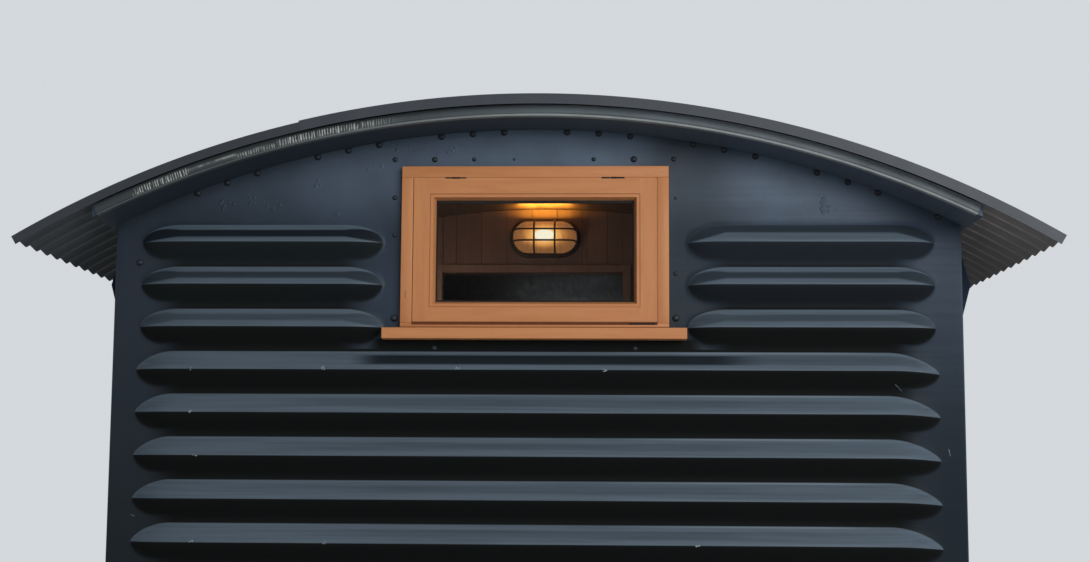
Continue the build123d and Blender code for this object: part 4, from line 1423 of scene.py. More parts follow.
@dataclass(frozen=True)
class Roof:
    """Corrugated sheets on the bowed deck, with the cappings and trims of both ends."""

    sheet_finish: Material
    capping_finish: Material
    trim_finish: Material
    lip_finish: Material
    corrugations: int = 75
    sheets: int = 6
    per_sheet: int = 13
    verge: float = 0.1905
    depth: float = 0.019
    steel: float = 0.0012
    eave_run: float = 0.232
    per_pitch: int = 8
    lap_lift: float = 0.0012
    capping_face: float = 0.025
    capping_lap: float = 0.08
    capping_steel: float = 0.0015
    capping_joint: float = -0.6534
    joint_lift: float = 0.0035
    joint_lap: float = 0.04
    sag: float = 0.0006
    washer_radius: float = 0.0105
    washer_rise: float = 0.0012
    screw_radius: float = 0.0045
    screw_rise: float = 0.005
    trim_reach: float = 0.165
    trim_steel: float = 0.002

    @property
    def length(self) -> float:
        """Length of the roof over both ends."""
        return 2 * SHELL.half_length + 2 * self.verge

    @property
    def pitch(self) -> float:
        """Width of one corrugation."""
        return self.length / self.corrugations

    @property
    def under(self) -> float:
        """Radius of the corrugations' hollows."""
        return SHELL.roof_radius + SHELL.deck_thickness + SHELL.seat

    @property
    def deck_run(self) -> float:
        """Length of the section from the crown to the deck's edge."""
        return math.asin(SHELL.deck_half / self.under) * self.under

    @property
    def half_section(self) -> float:
        """Length of the section from crown to eave."""
        return self.deck_run + self.eave_run

    def cross(self, share: float, out: float) -> Pair:
        """A point of the roof's cross-section.

        Args:
            share: how far along the section, in metres from the crown.
            out: distance outwards from the hollows' line.

        Returns:
            X and Z.
        """
        turn = share / self.under
        reach = self.under + out
        return reach * math.sin(turn), SHELL.roof_centre + reach * math.cos(turn)

    def sheeting(self) -> None:
        """The corrugated sheets, each a thin closed mesh lapped over the next."""
        piece = Piece("corrugated_sheets", "roof_sheet", [self.sheet_finish])
        for index in range(self.sheets):
            first = index * self.per_sheet
            count = min(self.per_sheet, self.corrugations - first)
            over = 0.5 if first + count < self.corrugations else 0.0
            solid = bmesh.new()
            cells = round((count + over) * self.per_pitch)
            across = 46
            bmesh.ops.create_grid(solid, x_segments=cells, y_segments=across, size=0.5)
            for vert in solid.verts:
                along = (vert.co.x + 0.5) * (count + over)
                y = -self.length / 2 + (first + along) * self.pitch
                wave = 0.5 - 0.5 * math.cos(2 * math.pi * along)
                lift = self.lap_lift * along / (count + over) if over else 0.0
                out = self.steel + (self.depth - self.steel - self.lap_lift) * wave + lift
                share = 2 * self.half_section * vert.co.y
                sag = self.sag * noise.noise(Vector((share * 2, y * 2, 0.3)))
                x, z = self.cross(share, out + sag)
                vert.co = (x, y, z)
            Solid.face_out(solid)
            if sum(f.normal.z for f in solid.faces) < 0:
                bmesh.ops.reverse_faces(solid, faces=solid.faces[:])
            bmesh.ops.solidify(solid, geom=solid.faces[:], thickness=self.steel)
            piece.add(solid)
        piece.done("roof_sheets", smooth=50.0)

    def screws(self) -> None:
        """Roofing screws with their washers, on every third crest."""
        piece = Piece("roof_screws", "roof_sheet", [self.capping_finish])
        rows = 7
        for row in range(rows):
            share = (row / (rows - 1) - 0.5) * 2 * (self.deck_run - 0.03)
            for crest in range(1 + row % 2, self.corrugations - 1, 3):
                y = -self.length / 2 + (crest + 0.5) * self.pitch
                x, z = self.cross(share, self.depth)
                out = Vector((x, 0, z - SHELL.roof_centre)).normalized()
                centre = Vector((x, y, z))
                washer = centre - 0.002 * out, centre + self.washer_rise * out
                piece.add(Solid.rod(*washer, self.washer_radius, 10))
                piece.add(Solid.rod(centre, centre + self.screw_rise * out, self.screw_radius, 6))
        piece.done(smooth=30.0)

    def sweep(self, profile: Sequence[Pair], start: float, stop: float) -> Mesh:
        """A closed profile spun round the roof's section.

        Args:
            profile: its corners as (Y, distance out from the hollows' line).
            start: where it starts along the section.
            stop: where it stops.

        Returns:
            The mesh.
        """
        solid = bmesh.new()
        corners = [(self.cross(start, out), y) for y, out in profile]
        face = solid.faces.new([solid.verts.new((x, y, z)) for (x, z), y in corners])
        bmesh.ops.spin(
            solid, geom=[face], cent=(0, 0, SHELL.roof_centre), axis=(0, 1, 0), angle=(stop - start) / self.under,
            steps=96, use_merge=False,
        )
        Solid.face_out(solid)
        return solid

    def capping(self, end: End) -> None:
        """The L-shaped flashing over the sheets' ends, in two lapped lengths.

        Args:
            end: the end it is for.
        """
        piece = Piece("capping_lengths", "capping_metal", [self.capping_finish], end)
        back = -SHELL.half_length - self.verge - SHELL.seat
        lengths = ((-self.half_section, self.capping_joint + self.joint_lap, 0.0),
                   (self.capping_joint, self.half_section, self.joint_lift))
        for start, stop, lift in lengths:
            t = self.capping_steel
            top = self.depth + SHELL.seat + lift
            foot = self.depth - self.capping_face + self.capping_steel
            y = back - lift * 0.5
            profile = [
                (y, top), (y, foot), (y - t, foot), (y - t, top + t), (y + self.capping_lap, top + t),
                (y + self.capping_lap, top),
            ]
            piece.add(self.sweep(profile, start, stop), tone=0.0 if lift else 1.0)
        piece.done("barge_capping", smooth=30.0)

    def trim(self, end: End) -> None:
        """The deck's metal edge trim: a lip painted bright as a highlight, below a fine dark line partly painted shade.

        Args:
            end: the end it is for.
        """
        piece = Piece("trim_strip", "trim_metal", [self.trim_finish, self.lip_finish], end)
        y = -SHELL.half_length - self.trim_reach - SHELL.seat
        t = self.trim_steel
        top = -SHELL.seat
        foot = -SHELL.deck_thickness - 2 * SHELL.seat
        reach = self.deck_run - 0.002
        face = [
            (y, top), (y - t, top), (y - t, foot + 0.0052), (y - 0.0006, foot + 0.0048), (y - 0.0006, foot + 0.0036),
            (y, foot + 0.0036),
        ]
        lip = [
            (y, foot + 0.0035), (y - t, foot + 0.0035), (y - t - 0.001, foot + 0.0012), (y - t, foot - t),
            (y + 0.017, foot - t), (y + 0.017, foot), (y, foot),
        ]
        piece.add(self.sweep(face, -reach, reach), 0)
        piece.add(self.sweep(lip, -reach, reach), 1)
        piece.done("verge_trim", smooth=30.0)

    def build(self) -> None:
        """Make every piece of the roof."""
        self.sheeting()
        self.screws()
        for end in End:
            self.capping(end)
            self.trim(end)


# The long sides


@dataclass(frozen=True)
class BoardedSide:
    """One long side: boarded panels, pressed stanchions and braces, and a closed pair of doors.

    Every piece is made for the right side and mirrored for the left.
    """

    hand: Hand
    along: Material
    upright: Material
    steel: Material
    boards: int = 12
    low: float = SHELL.floor_top
    high: float = 2.3037
    opening: float = 0.838
    face: float = 1.214
    leaf_near: float = 0.0025
    leaf_far: float = 0.833
    leaf_low: float = 0.419
    leaf_high: float = 2.299
    slab_back: float = 1.1677
    slab_front: float = 1.2077
    rail: float = 0.06
    leaf_boards: int = 6
    stanchion_width: float = 0.09
    stanchion_depth: float = 0.045
    stanchion_height: float = 2.02
    steel_thickness: float = 0.006
    brace_width: float = 0.065
    brace_thickness: float = 0.008
    strap_reach: float = 0.62
    strap_width: float = 0.045
    strap_levels: tuple[float, float, float] = (0.539, 1.359, 2.179)
    pin_radius: float = 0.008
    bolt_radius: float = 0.009
    board_ease: float = 0.0035
    board_gap: float = 0.0004
    corner_leg: float = 0.075
    strap_past: float = 0.0047

    @property
    def post_middle(self) -> float:
        """How far along the van the door posts stand."""
        return self.opening + self.stanchion_width / 2

    @property
    def mid_middle(self) -> float:
        """How far along the van the middle stanchions stand."""
        return (self.post_middle + SHELL.lining_front - self.corner_leg) / 2

    def bolt(self, piece: Piece, x: float, y: float, z: float) -> None:
        """Add one cup-headed bolt that stands out of the side."""
        piece.add(Solid.dome((x, y, z), (1, 0, 0), self.bolt_radius, 0.006, 10))

    def panels(self) -> None:
        """Level boards with V joints beside the doors."""
        piece = Piece("wall_boards", "navy_boards", [self.along], self.hand)
        pitch = (self.high - self.low) / self.boards
        for end in End:
            for index in range(self.boards):
                z = self.low + index * pitch
                low = (SHELL.side_inner, end.value * self.opening, z + self.board_gap)
                high = (SHELL.side_face, end.value * SHELL.lining_front, z + pitch - self.board_gap)
                piece.add(Solid.block(low, high, self.board_ease))
        piece.done("side_panels")

    def top_hat(self, y: float) -> Mesh:
        """One pressed stanchion.

        Args:
            y: the Y of its middle.

        Returns:
            The mesh.
        """
        t, w, flange = self.steel_thickness, self.stanchion_width / 2, self.stanchion_width / 4
        out = self.face + self.stanchion_depth
        outline = [
            (self.face, y - w), (self.face + t, y - w), (self.face + t, y - w + flange), (out, y - w + flange + t),
            (out, y + w - flange - t), (self.face + t, y + w - flange), (self.face + t, y + w), (self.face, y + w),
            (self.face, y + w - flange - t), (out - t, y + w - flange - 2 * t), (out - t, y - w + flange + 2 * t),
            (self.face, y - w + flange + t),
        ]
        return Solid.prism([(a, b, SHELL.solebar_top) for a, b in outline], (0, 0, self.stanchion_height), 0.001)

    def brace(self, end: End) -> list[Mesh]:
        """The flat diagonal brace of one panel, parted where it passes the middle stanchion.

        Args:
            end: the end that the panel lies towards.

        Returns:
            The meshes of its two parts.
        """
        gap = self.stanchion_width / 2 + SHELL.seat
        top_y, foot_y = self.post_middle + gap, SHELL.lining_front - self.corner_leg
        w, top, low = self.brace_width, self.high + SHELL.seat, self.low
        outline = [
            (top_y, top), (top_y, top - 2 * w), (foot_y - w, low), (foot_y, low), (foot_y, low + w),
            (top_y + w / 2, top),
        ]
        parts = []
        for side in (-1, 1):
            flat = Solid.prism([(self.face, end.value * y, z) for y, z in outline], (self.brace_thickness, 0, 0))
            Solid.cut(flat, (0, end.value * (self.mid_middle + side * gap), 0), (0, -side * end.value, 0))
            Solid.ease(flat, 0.001)
            parts.append(flat)
        return parts

    def framing(self) -> None:
        """Stanchions, door posts and braces, with their bolts."""
        piece = Piece("steel_framing", "navy_steel", [self.steel], self.hand)
        flange = self.stanchion_width / 2 - 0.011
        for end in End:
            for middle in (self.post_middle, self.mid_middle):
                y = end.value * middle
                piece.add(self.top_hat(y))
                for level in range(8):
                    for side in (-1, 1):
                        z = self.low + 0.08 + level * 0.255 + 0.02 * side
                        self.bolt(piece, self.face + self.steel_thickness, y + side * flange, z)
            for part in self.brace(end):
                piece.add(part)
            for share in (0.1, 0.32, 0.66, 0.9):
                y = self.post_middle + 0.06 + share * (SHELL.lining_front - 0.16 - self.post_middle)
                z = self.high - 0.1 - share * (self.high - self.low - 0.14)
                self.bolt(piece, self.face + self.brace_thickness, end.value * y, z)
        piece.done("side_framing")

    def leaf(self, end: End) -> None:
        """One door leaf: upright boards in a flat steel frame with one diagonal.

        Args:
            end: the end that the leaf lies towards.
        """
        piece = Piece(end.word + "_door_boards", "navy_boards", [self.upright, self.steel], self.hand)
        s = end.value
        pitch = (self.leaf_far - self.leaf_near) / self.leaf_boards
        for index in range(self.leaf_boards):
            low = (self.slab_back, s * (self.leaf_near + index * pitch + SHELL.seat), self.leaf_low)
            high = (self.slab_front, s * (self.leaf_near + (index + 1) * pitch - SHELL.seat), self.leaf_high)
            piece.add(Solid.block(low, high, self.board_ease), 0)
        x0, x1 = self.slab_front, SHELL.side_face
        near, far = self.leaf_near + self.rail, self.leaf_far - self.rail
        low, high = self.leaf_low + self.rail, self.leaf_high - self.rail
        for y0, y1 in ((self.leaf_near, near), (far, self.leaf_far)):
            piece.add(Solid.block((x0, s * y0, self.leaf_low), (x1, s * y1, self.leaf_high), 0.001), 1)
        for z0, z1 in ((self.leaf_low, low), (high, self.leaf_high)):
            piece.add(Solid.block((x0, s * near, z0), (x1, s * far, z1), 0.001), 1)
        outline = [(far, low), (far, low + 2 * self.rail), (near, high), (near, high - 2 * self.rail)]
        piece.add(Solid.prism([(x0, s * y, z) for y, z in outline], (x1 - x0, 0, 0), 0.001), 1)
        for level in range(9):
            z = self.leaf_low + 0.03 + level * (self.leaf_high - self.leaf_low - 0.06) / 8
            for y in (self.leaf_near + self.rail / 2, self.leaf_far - self.rail / 2):
                piece.add(Solid.dome((x1 - 0.0004, s * y, z), (1, 0, 0), 0.0075, 0.0045, 10), 1)
        piece.done("door_" + end.word + "_leaf")

    def strap(self, end: End, z: float) -> Mesh:
        """One tapered strap hinge with a pointed end.

        Args:
            end: the end that its leaf lies towards.
            z: the height of its middle.

        Returns:
            The mesh.
        """
        s, w = end.value, self.strap_width / 2
        far = self.leaf_far + self.strap_past
        near = far - self.strap_reach
        outline = [
            (far, z - w), (far, z + w), (near + 0.05, z + 0.62 * w), (near + 0.02, z + 0.8 * w), (near, z),
            (near + 0.02, z - 0.8 * w), (near + 0.05, z - 0.62 * w),
        ]
        return Solid.prism([(self.face, s * a, b) for a, b in outline], (self.steel_thickness, 0, 0), 0.001)

    def hardware(self) -> None:
        """Strap hinges with pins and bolts, and the upright locking bar with its guides and handle."""
        piece = Piece("hinges_and_bar", "navy_steel", [self.steel], self.hand)
        front = self.face + self.steel_thickness
        for z in self.strap_levels:
            for end in End:
                piece.add(self.strap(end, z))
                pin = (self.face + self.pin_radius, end.value * (self.leaf_far + self.strap_past - self.pin_radius))
                for k in (-1, 0, 1):
                    low, high = z + (k - 0.48) * self.strap_width / 3, z + (k + 0.48) * self.strap_width / 3
                    piece.add(Solid.rod((*pin, low), (*pin, high), self.pin_radius, 16))
                for share in (0.12, 0.36, 0.62, 0.88):
                    y = end.value * (self.leaf_far - 0.02 - share * (self.strap_reach - 0.05))
                    self.bolt(piece, front, y, z)
        low, high = self.leaf_low + self.rail, self.leaf_high - self.rail
        piece.add(Solid.block((self.face, -0.015, low), (front, 0.015, high), 0.0015, 2))
        for z in (low + 0.12, low + 0.6, high - 0.6, high - 0.12):
            piece.add(Solid.block((self.face, -0.026, z - 0.014), (front + 0.004, 0.026, z + 0.014), 0.002, 2))
            for s in (-1, 1):
                piece.add(Solid.dome((front + 0.004, s * 0.0205, z), (1, 0, 0), 0.005, 0.003, 10))
        piece.add(Solid.rod((front, 0.0, 1.2), (front + 0.008, 0.0, 1.2), 0.014, 16))
        piece.add(Solid.block((front + 0.002, -0.011, 1.0), (front + 0.008, 0.011, 1.21), 0.0025, 2))
        piece.done("door_hardware")

    def build(self) -> None:
        """Make every piece of the side."""
        self.panels()
        self.framing()
        for end in End:
            self.leaf(end)
        self.hardware()


# The base


@dataclass(frozen=True)
class Base:
    """Weathered timber sleepers that the van's steel frame stands on."""

    timber: Material
    places: tuple[float, ...] = (-2.466, -1.233, 0.0, 1.233, 2.466)
    half_length: float = 1.15
    half_width: float = 0.125
    height: float = 0.125
    ease: float = 0.007
    wear: float = 0.003

    def sleeper(self, y: float) -> Mesh:
        """One sleeper with worn faces and eased edges.

        Args:
            y: the Y of its middle.

        Returns:
            The mesh.
        """
        low = (-self.half_length, y - self.half_width, 0.0)
        solid = Solid.block(low, (self.half_length, y + self.half_width, self.height), self.ease, 2)
        for share in range(1, 40):
            x = self.half_length * (share / 20 - 1)
            geometry = solid.verts[:] + solid.edges[:] + solid.faces[:]
            bmesh.ops.bisect_plane(solid, geom=geometry, plane_co=(x, 0, 0), plane_no=(1, 0, 0))
        middle = Vector((0, y, self.height / 2))
        for vert in solid.verts:
            if vert.co.z > 0.002:
                wave = noise.noise(Vector((vert.co.x * 5.0, vert.co.y * 9.0, vert.co.z * 9.0)))
                across = Vector((0, middle.y - vert.co.y, middle.z - vert.co.z)).normalized()
                vert.co += self.wear * (0.5 + 0.5 * wave) * across
        return solid

    def build(self) -> None:
        """Make the sleepers."""
        piece = Piece("weathered_sleepers", "sleeper_timber", [self.timber])
        for y in self.places:
            piece.add(self.sleeper(y))
        piece.done("sleepers")


# The inside


@dataclass(frozen=True)
class Partition:
    """Boarded wall with a doorway, seen through the window."""

    boards: Material
    architrave_finish: Material
    front: float = -1.517
    back: float = -1.467
    low: float = SHELL.floor_top
    half: float = 1.1494
    door_left: float = -0.389
    door_right: float = 0.282
    door_top: float = 2.4244
    ceiling_radius: float = 2.7793
    pitch: float = 0.094
    first_joint: float = 0.037
    architrave_width: float = 0.03
    architrave_depth: float = 0.012
    ease: float = 0.0016

    def boarding(self, piece: Piece, start: float, stop: float, low: float) -> None:
        """Upright boards between two X, their tops cut to the ceiling.

        Args:
            piece: the piece to add them to.
            start: lowest X.
            stop: highest X.
            low: height of the boards' feet.
        """
        joint = self.first_joint + self.pitch * math.floor((start - self.first_joint) / self.pitch)
        while joint < stop - 0.001:
            a, b = max(start, joint) + SHELL.seat, min(stop, joint + self.pitch) - SHELL.seat
            joint += self.pitch
            if b - a < 0.004:
                continue
            outline = [(a, low), (b, low), (b, self.top(b)), (a, self.top(a))]
            piece.add(Solid.prism([(x, self.front, z) for x, z in outline], (0, self.back - self.front, 0), self.ease))

    def top(self, x: float) -> float:
        """Height of the ceiling's underside at one X."""
        return SHELL.arch(x, self.ceiling_radius) - 0.0005

    def architrave(self) -> None:
        """Flat moulding round the doorway, mitred at its corners."""
        piece = Piece("doorway_moulding", "inner_lining", [self.architrave_finish])
        w, y = self.architrave_width, self.front - SHELL.seat
        left, right, top, low = self.door_left, self.door_right, self.door_top, self.low
        members = (
            [(left - w, low), (left, low), (left, top), (left - w, top + w)],
            [(right, low), (right + w, low), (right + w, top + w), (right, top)],
            [(left, top), (right, top), (right + w, top + w), (left - w, top + w)],
        )
        for outline in members:
            shape = [(x, y, z) for x, z in outline]
            piece.add(Solid.prism(shape, (0, -self.architrave_depth, 0), self.ease))
        piece.done("doorway_architrave")

    def build(self) -> None:
        """Make the boards and the moulding."""
        walls = Piece("partition_boards", "inner_lining", [self.boards])
        self.boarding(walls, -self.half, self.door_left, self.low)
        self.boarding(walls, self.door_right, self.half, self.low)
        walls.done("partition_walls")
        header = Piece("header_boards", "inner_lining", [self.boards])
        self.boarding(header, self.door_left + SHELL.seat, self.door_right - SHELL.seat, self.door_top)
        header.done("partition_header")
        self.architrave()


@dataclass(frozen=True)
class BulkheadLamp:
    """Oval lamp over the doorway: cast base, domed prismatic lens and a guard of round wire."""

    metal: Material
    lens_finish: Material
    x: float = -0.008
    z: float = 2.5514
    wall: float = -1.5173
    plate: float = 0.026
    screw_x: float = 0.1275
    base_front: float = -1.5493
    base_half: Pair = (0.132, 0.0725)
    ring_half: Pair = (0.1215, 0.0625)
    lens_half: Pair = (0.1177, 0.0587)
    lens_front: float = -1.6156
    guard_front: float = -1.6241
    wire: float = 0.0034
    bars_x: float = 0.038
    bars_z: float = 0.021

    def base(self) -> None:
        """The cast base with a raised seat for the lens and two screws."""
        piece = Piece("lamp_casting", "lamp_body", [self.metal])
        piece.add(Solid.oval((self.x, self.wall, self.z), self.base_half, self.plate, 0.005))
        seat = (self.base_half[0] - 0.006, self.base_half[1] - 0.006)
        piece.add(Solid.oval((self.x, self.wall - 0.02, self.z), seat, 0.012, 0.002))
        for s in (-1, 1):
            centre = (self.x + s * self.screw_x, self.wall - self.plate, self.z)
            piece.add(Solid.dome(centre, (0, -1, 0), 0.0035, 0.0025))
        piece.done("lamp_base")

    def lens(self) -> None:
        """The domed lens, a capsule cut in half and flattened."""
        piece = Piece("lamp_dome", "lamp_lens", [self.lens_finish])
        half, tall = self.lens_half
        solid = bmesh.new()
        bmesh.ops.create_uvsphere(
            solid, u_segments=48, v_segments=28, radius=1.0, matrix=Matrix.Rotation(math.pi / 2, 4, "Y")
        )
        depth = self.base_front - self.lens_front
        for vert in solid.verts:
            x, y, z = vert.co
            shift = 0.0 if abs(x) < 1e-5 else math.copysign(half - tall, x)
            rounded = math.copysign(abs(y) ** 0.72, y)
            vert.co = (self.x + shift + tall * x, self.base_front + depth * rounded, self.z + tall * z)
        Solid.cut(solid, (0, self.base_front, 0), (0, 1, 0))
        piece.add(solid)
        piece.done("lamp_glass", smooth=50.0)

    def hoop(self, reach: float) -> list[Pair]:
        """The points of one guard bar.

        Args:
            reach: how far its ends lie from its middle.

        Returns:
            Distance along it and Y of each.
        """
        front = self.guard_front
        side = [
            (-reach, self.base_front - 0.003), (-reach + 0.002, self.base_front - 0.035),
            (-reach + 0.009, front + 0.013), (-reach + 0.026, front), (-0.3 * reach, front),
        ]
        return side + [(-a, y) for a, y in reversed(side)]

    def guard(self) -> None:
        """A wire ring on the base's rim, and two upright and two level hoops over the lens."""
        piece = Piece("lamp_wires", "lamp_body", [self.metal])
        half, tall = self.ring_half
        ring = []
        for k in range(32):
            turn = 2 * math.pi * k / 32
            x = self.x + math.copysign(half - tall, math.cos(turn + 1e-6)) + tall * math.cos(turn)
            ring.append((x, self.base_front - 0.0036, self.z + tall * math.sin(turn)))
        piece.add(Solid.tube(ring, self.wire, True))
        for x in (-self.bars_x, self.bars_x):
            piece.add(Solid.tube([(self.x + x, y, self.z + a) for a, y in self.hoop(tall)], self.wire))
        for z in (-self.bars_z, self.bars_z):
            reach = half - tall + math.sqrt(tall * tall - z * z)
            piece.add(Solid.tube([(self.x + a, y, self.z + z) for a, y in self.hoop(reach)], self.wire))
        piece.done("lamp_guard", smooth=60.0)

    def build(self) -> None:
        """Make every piece of the lamp."""
        self.base()
        self.lens()
        self.guard()


# The stage


@dataclass(frozen=True)
class Studio:
    """Pale floor, soft lamps, plain background and the camera at the picture's place."""

    camera_place: Point = (0.15817, -6.6011, 1.6706)
    focal: float = 1380.6
    centre_y: float = 340.0
    yaw: float = -0.0324
    pitch: float = 0.0986
    roll: float = 0.0056
    image: Pair = (1090.0, 562.0)
    sensor: float = 36.0
    floor_radius: float = 16.0
    sky: Colour = (0.66, 0.69, 0.72)
    soft_light: Colour = (0.3, 0.305, 0.315)

    @staticmethod
    def stand(data: bpy.types.ID, place: Point = (0, 0, 0), turn: Matrix = Matrix.Identity(4)) -> bpy.types.Object:
        """Put one object of the stage in its place.

        Args:
            data: its mesh, camera or lamp, whose name it takes.
            place: where it stands.
            turn: how it is turned.

        Returns:
            The object.
        """
        made = bpy.data.objects.new(data.name, data)
        made.matrix_world = Matrix.Translation(place) @ turn
        bpy.context.scene.collection.objects.link(made)
        return made

    def camera(self) -> None:
        """The camera, from the fit to the picture."""
        data = bpy.data.cameras.new("view")
        data.sensor_width = self.sensor
        data.lens = self.focal * self.sensor / self.image[0]
        data.shift_y = (self.centre_y - self.image[1] / 2) / self.image[0]
        ahead = Vector((math.sin(self.yaw), math.cos(self.yaw), 0)) * math.cos(self.pitch)
        ahead += Vector((0, 0, math.sin(self.pitch)))
        right = Vector((math.cos(self.yaw), -math.sin(self.yaw), 0))
        up = right.cross(ahead)
        across = right * math.cos(self.roll) + up * math.sin(self.roll)
        above = up * math.cos(self.roll) - right * math.sin(self.roll)
        turn = Matrix((across, above, -ahead)).transposed().to_4x4()
        bpy.context.scene.camera = self.stand(data, self.camera_place, turn)

    def floor(self) -> None:
        """A round pale floor that fades out at its rim."""
        mesh = bpy.data.meshes.new("floor")
        solid = bmesh.new()
        bmesh.ops.create_circle(solid, cap_ends=True, segments=96, radius=self.floor_radius)
        solid.to_mesh(mesh)
        solid.free()
        r = Recipe("pale_floor")
        r.base = (0.6, 0.61, 0.62)
        r.finish(0.9, gloss=0.1)
        clear = r.node("BsdfTransparent", {}).outputs[0]
        rim = r.span(r.radius(r.part("X"), r.part("Y")), self.floor_radius * 0.6, self.floor_radius * 0.98)
        mix = r.node("MixShader", {0: rim, 1: r.shader.outputs[0], 2: clear}).outputs[0]
        r.put(r.tree.nodes["Material Output"].inputs["Surface"], mix)
        mesh.materials.append(r.material)
        made = self.stand(mesh)

    def background(self) -> None:
        """An even pale sky for the eye, glass and metal, and a softer one that lights the van."""
        world = bpy.data.worlds.new("studio")
        world.use_nodes = True
        tree = world.node_tree
        shader = tree.nodes["Background"]
        path = tree.nodes.new("ShaderNodeLightPath")
        seen = path.outputs["Is Camera Ray"]
        for kind in ("Is Glossy Ray", "Is Transmission Ray"):
            either = tree.nodes.new("ShaderNodeMath")
            either.operation = "MAXIMUM"
            tree.links.new(seen, either.inputs[0])
            tree.links.new(path.outputs[kind], either.inputs[1])
            seen = either.outputs[0]
        mix = tree.nodes.new("ShaderNodeMix")
        mix.data_type = "RGBA"
        mix.inputs[6].default_value = (*self.soft_light, 1.0)
        mix.inputs[7].default_value = (*self.sky, 1.0)
        tree.links.new(seen, mix.inputs[0])
        tree.links.new(mix.outputs[2], shader.inputs["Color"])
        bpy.context.scene.world = world

    def lamp(self, name: str, place: Point, aim: Point, size: Pair, watts: float, colour: Colour = (1, 1, 1)) -> None:
        """One soft area lamp.

        Args:
            name: its name.
            place: where it is.
            aim: where it points.
            size: its width and height.
            watts: its power.
            colour: its colour.
        """
        data = bpy.data.lights.new(name, "AREA")
        data.color = colour
        data.shape = "RECTANGLE"
        data.size, data.size_y = size
        data.energy = watts
        self.stand(data, place, (Vector(aim) - Vector(place)).to_track_quat("-Z", "Y").to_matrix().to_4x4())

    def bulb(self, name: str, place: Point, colour: Colour, watts: float) -> None:
        """One small lamp inside the van.

        Args:
            name: its name.
            place: where it is.
            colour: its colour.
            watts: its power.
        """
        data = bpy.data.lights.new(name, "POINT")
        data.color = colour
        data.energy = watts
        data.shadow_soft_size = 0.0
        self.stand(data, place)

    def build(self) -> None:
        """Set up the whole stage."""
        bpy.context.scene.view_settings.view_transform = "Standard"
        self.camera()
        self.floor()
        self.background()
        self.lamp("front_lamp", (4.0, -9.2, 4.0), (0, -2.0, 1.6), (6.0, 4.0), 560.0)
        self.lamp("back_lamp", (-4.0, 9.2, 5.0), (0, 2.0, 1.6), (6.0, 4.0), 560.0)
        self.lamp("lamp_glow", (-0.008, -1.58, 2.628), (-0.008, -1.58, 3.0), (0.18, 0.06), 1.2, (1.0, 0.46, 0.06))
        self.bulb("room_glow", (-0.35, -2.2, 2.1), (1.0, 0.72, 0.55), 4.6)


def dress_nodes(finishes: dict[str, Material]) -> None:
    """Give every solid of the model its finish.

    Args:
        finishes: materials by the names of the solids.
    """
    for name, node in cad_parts.items():
        node.data.materials.clear()
        node.data.materials.append(finishes[name])


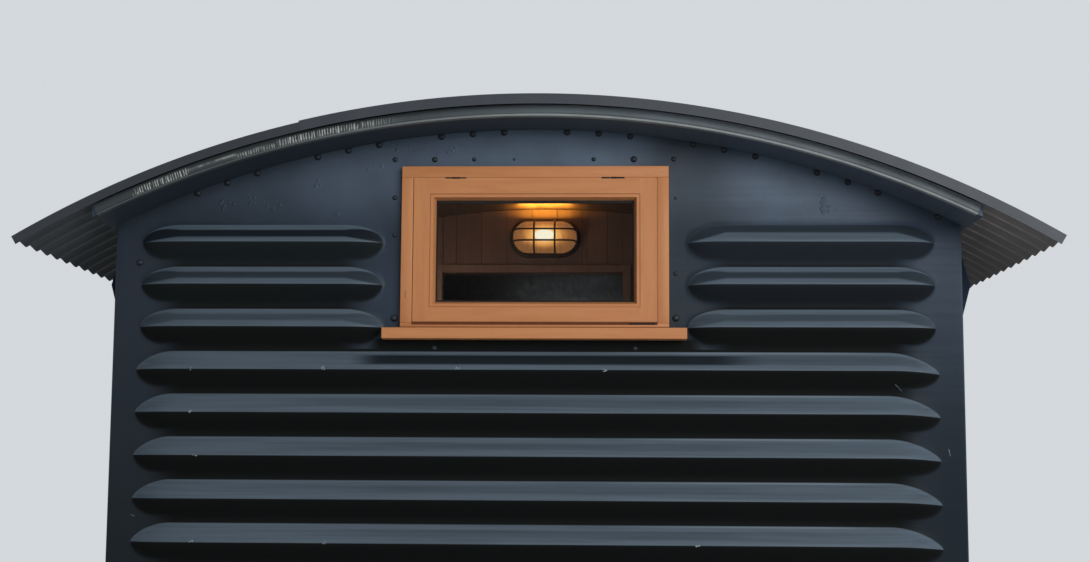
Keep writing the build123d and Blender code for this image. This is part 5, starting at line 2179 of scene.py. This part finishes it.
def main() -> None:
    """Build the whole scene in order."""
    logging.basicConfig(level=logging.INFO, format="%(name)s: %(message)s")
    Studio().build()
    steel = PaintedSteel("navy_steel").make()
    pressed = PressedPaint("pressed_end_paint").make()
    rivet = PaintedSteel("dark_navy", (0.011, 0.016, 0.022), (0.018, 0.024, 0.032), (0.003, 0.004, 0.005),
                         0.45, 0.0, 0.05, 0.25).make()
    # The brackets' paint is darker than the other navy steel, as painted shade under the eaves
    bracket = PaintedSteel("bracket_paint", (0.013, 0.021, 0.036), (0.016, 0.025, 0.042), (0.006, 0.009, 0.015),
                           0.8, 0.0, 0.0, 0.03).make()
    bare = PaintedSteel("bare_chip", (0.16, 0.18, 0.2), (0.24, 0.26, 0.28), (0.08, 0.09, 0.1), chips=0.2).make()
    boards_along = PaintedBoards("navy_boards_along", Grain.ALONG).make()
    boards_upright = PaintedBoards("navy_boards_upright", Grain.UP).make()
    timber_level = Varnished("window_timber_level", Grain.ACROSS).make()
    timber_upright = Varnished("window_timber_upright", Grain.UP).make()
    pane = Pane("window_pane").make()
    rubber = Rubber("black_rubber").make()
    shadowed = Rubber("joint_shadow", (0.085, 0.026, 0.011), (0.13, 0.042, 0.018)).make()
    sheet = CoatedSheet("roof_sheet").make()
    capping = FilmedMetal("capping").make()
    trim = WornTrim("verge_trim").make()
    lip = BrightLip("trim_lip").make()
    deck = ShadedDeck("deck_boards").make()
    lining = BareBoards("lining", Grain.UP, (0.2, 0.12, 0.075), (0.1, 0.055, 0.033), 0.5, "X", 0.094).make()
    # The ceiling's colour is darkened as painted shade, so the room past the doorway stays dark
    ceiling = BareBoards("ceiling_lining", Grain.ALONG, (0.11, 0.066, 0.042), (0.06, 0.034, 0.021), 0.5).make()
    partition = BareBoards("partition_boards", Grain.UP, (0.2, 0.115, 0.075), (0.13, 0.078, 0.052), 0.55).make()
    moulding = BareBoards("moulding", Grain.UP, (0.24, 0.15, 0.1), (0.17, 0.1, 0.068), 0.5).make()
    floor = BareBoards("floor_boards", Grain.ACROSS, (0.26, 0.17, 0.1), (0.13, 0.08, 0.045), pitch=0.165).make()
    base = OldSteel("base_steel").make()
    sleeper = BareBoards("sleeper_timber", Grain.ACROSS, (0.12, 0.095, 0.07), (0.05, 0.037, 0.026), 0.85).make()
    metal = FilmedMetal("lamp_metal", (0.05, 0.036, 0.025), (0.09, 0.065, 0.045), (0.035, 0.026, 0.018)).make()
    lens = LitLens("lamp_lens").make()
    finishes = {
        "corner_posts": steel, "eave_brackets": bracket, "cantrails": boards_along,
        "roof_deck": deck, "ceiling_lining": ceiling, "roof_sheets": sheet,
        "partition_walls": partition, "partition_header": partition, "doorway_architrave": moulding,
        "lamp_base": metal, "lamp_guard": metal, "lamp_glass": lens,
        "floor_boards": floor, "sleepers": sleeper, "solebars": base, "headstocks": base,
        "cross_bearers": base, "body_knees": base,
    }
    for end in End:
        finishes.update({
            end.word + "_end_sheet": pressed, end.word + "_end_lining": lining,
            end.word + "_window_frame": timber_level, end.word + "_window_sash": timber_level,
            end.word + "_window_glass": pane, end.word + "_window_sill": timber_level,
            end.word + "_barge_capping": capping, end.word + "_verge_trim": trim,
        })
    for hand in Hand:
        finishes.update({
            hand.word + "_side_panels": boards_along, hand.word + "_side_framing": steel,
            hand.word + "_door_front_leaf": boards_upright, hand.word + "_door_back_leaf": boards_upright,
            hand.word + "_door_hardware": steel,
        })
    dress_nodes(finishes)
    for end in End:
        EndWall(end, pressed, rivet, bare).build()
        TopHungWindow(end, timber_level, timber_upright, rubber, shadowed).build()
    Roof(sheet, capping, trim, lip).build()
    for hand in Hand:
        BoardedSide(hand, boards_along, boards_upright, steel).build()
    Base(sleeper).build()
    Partition(partition, moulding).build()
    BulkheadLamp(metal, lens).build()


if __name__ == "__main__":
    main()
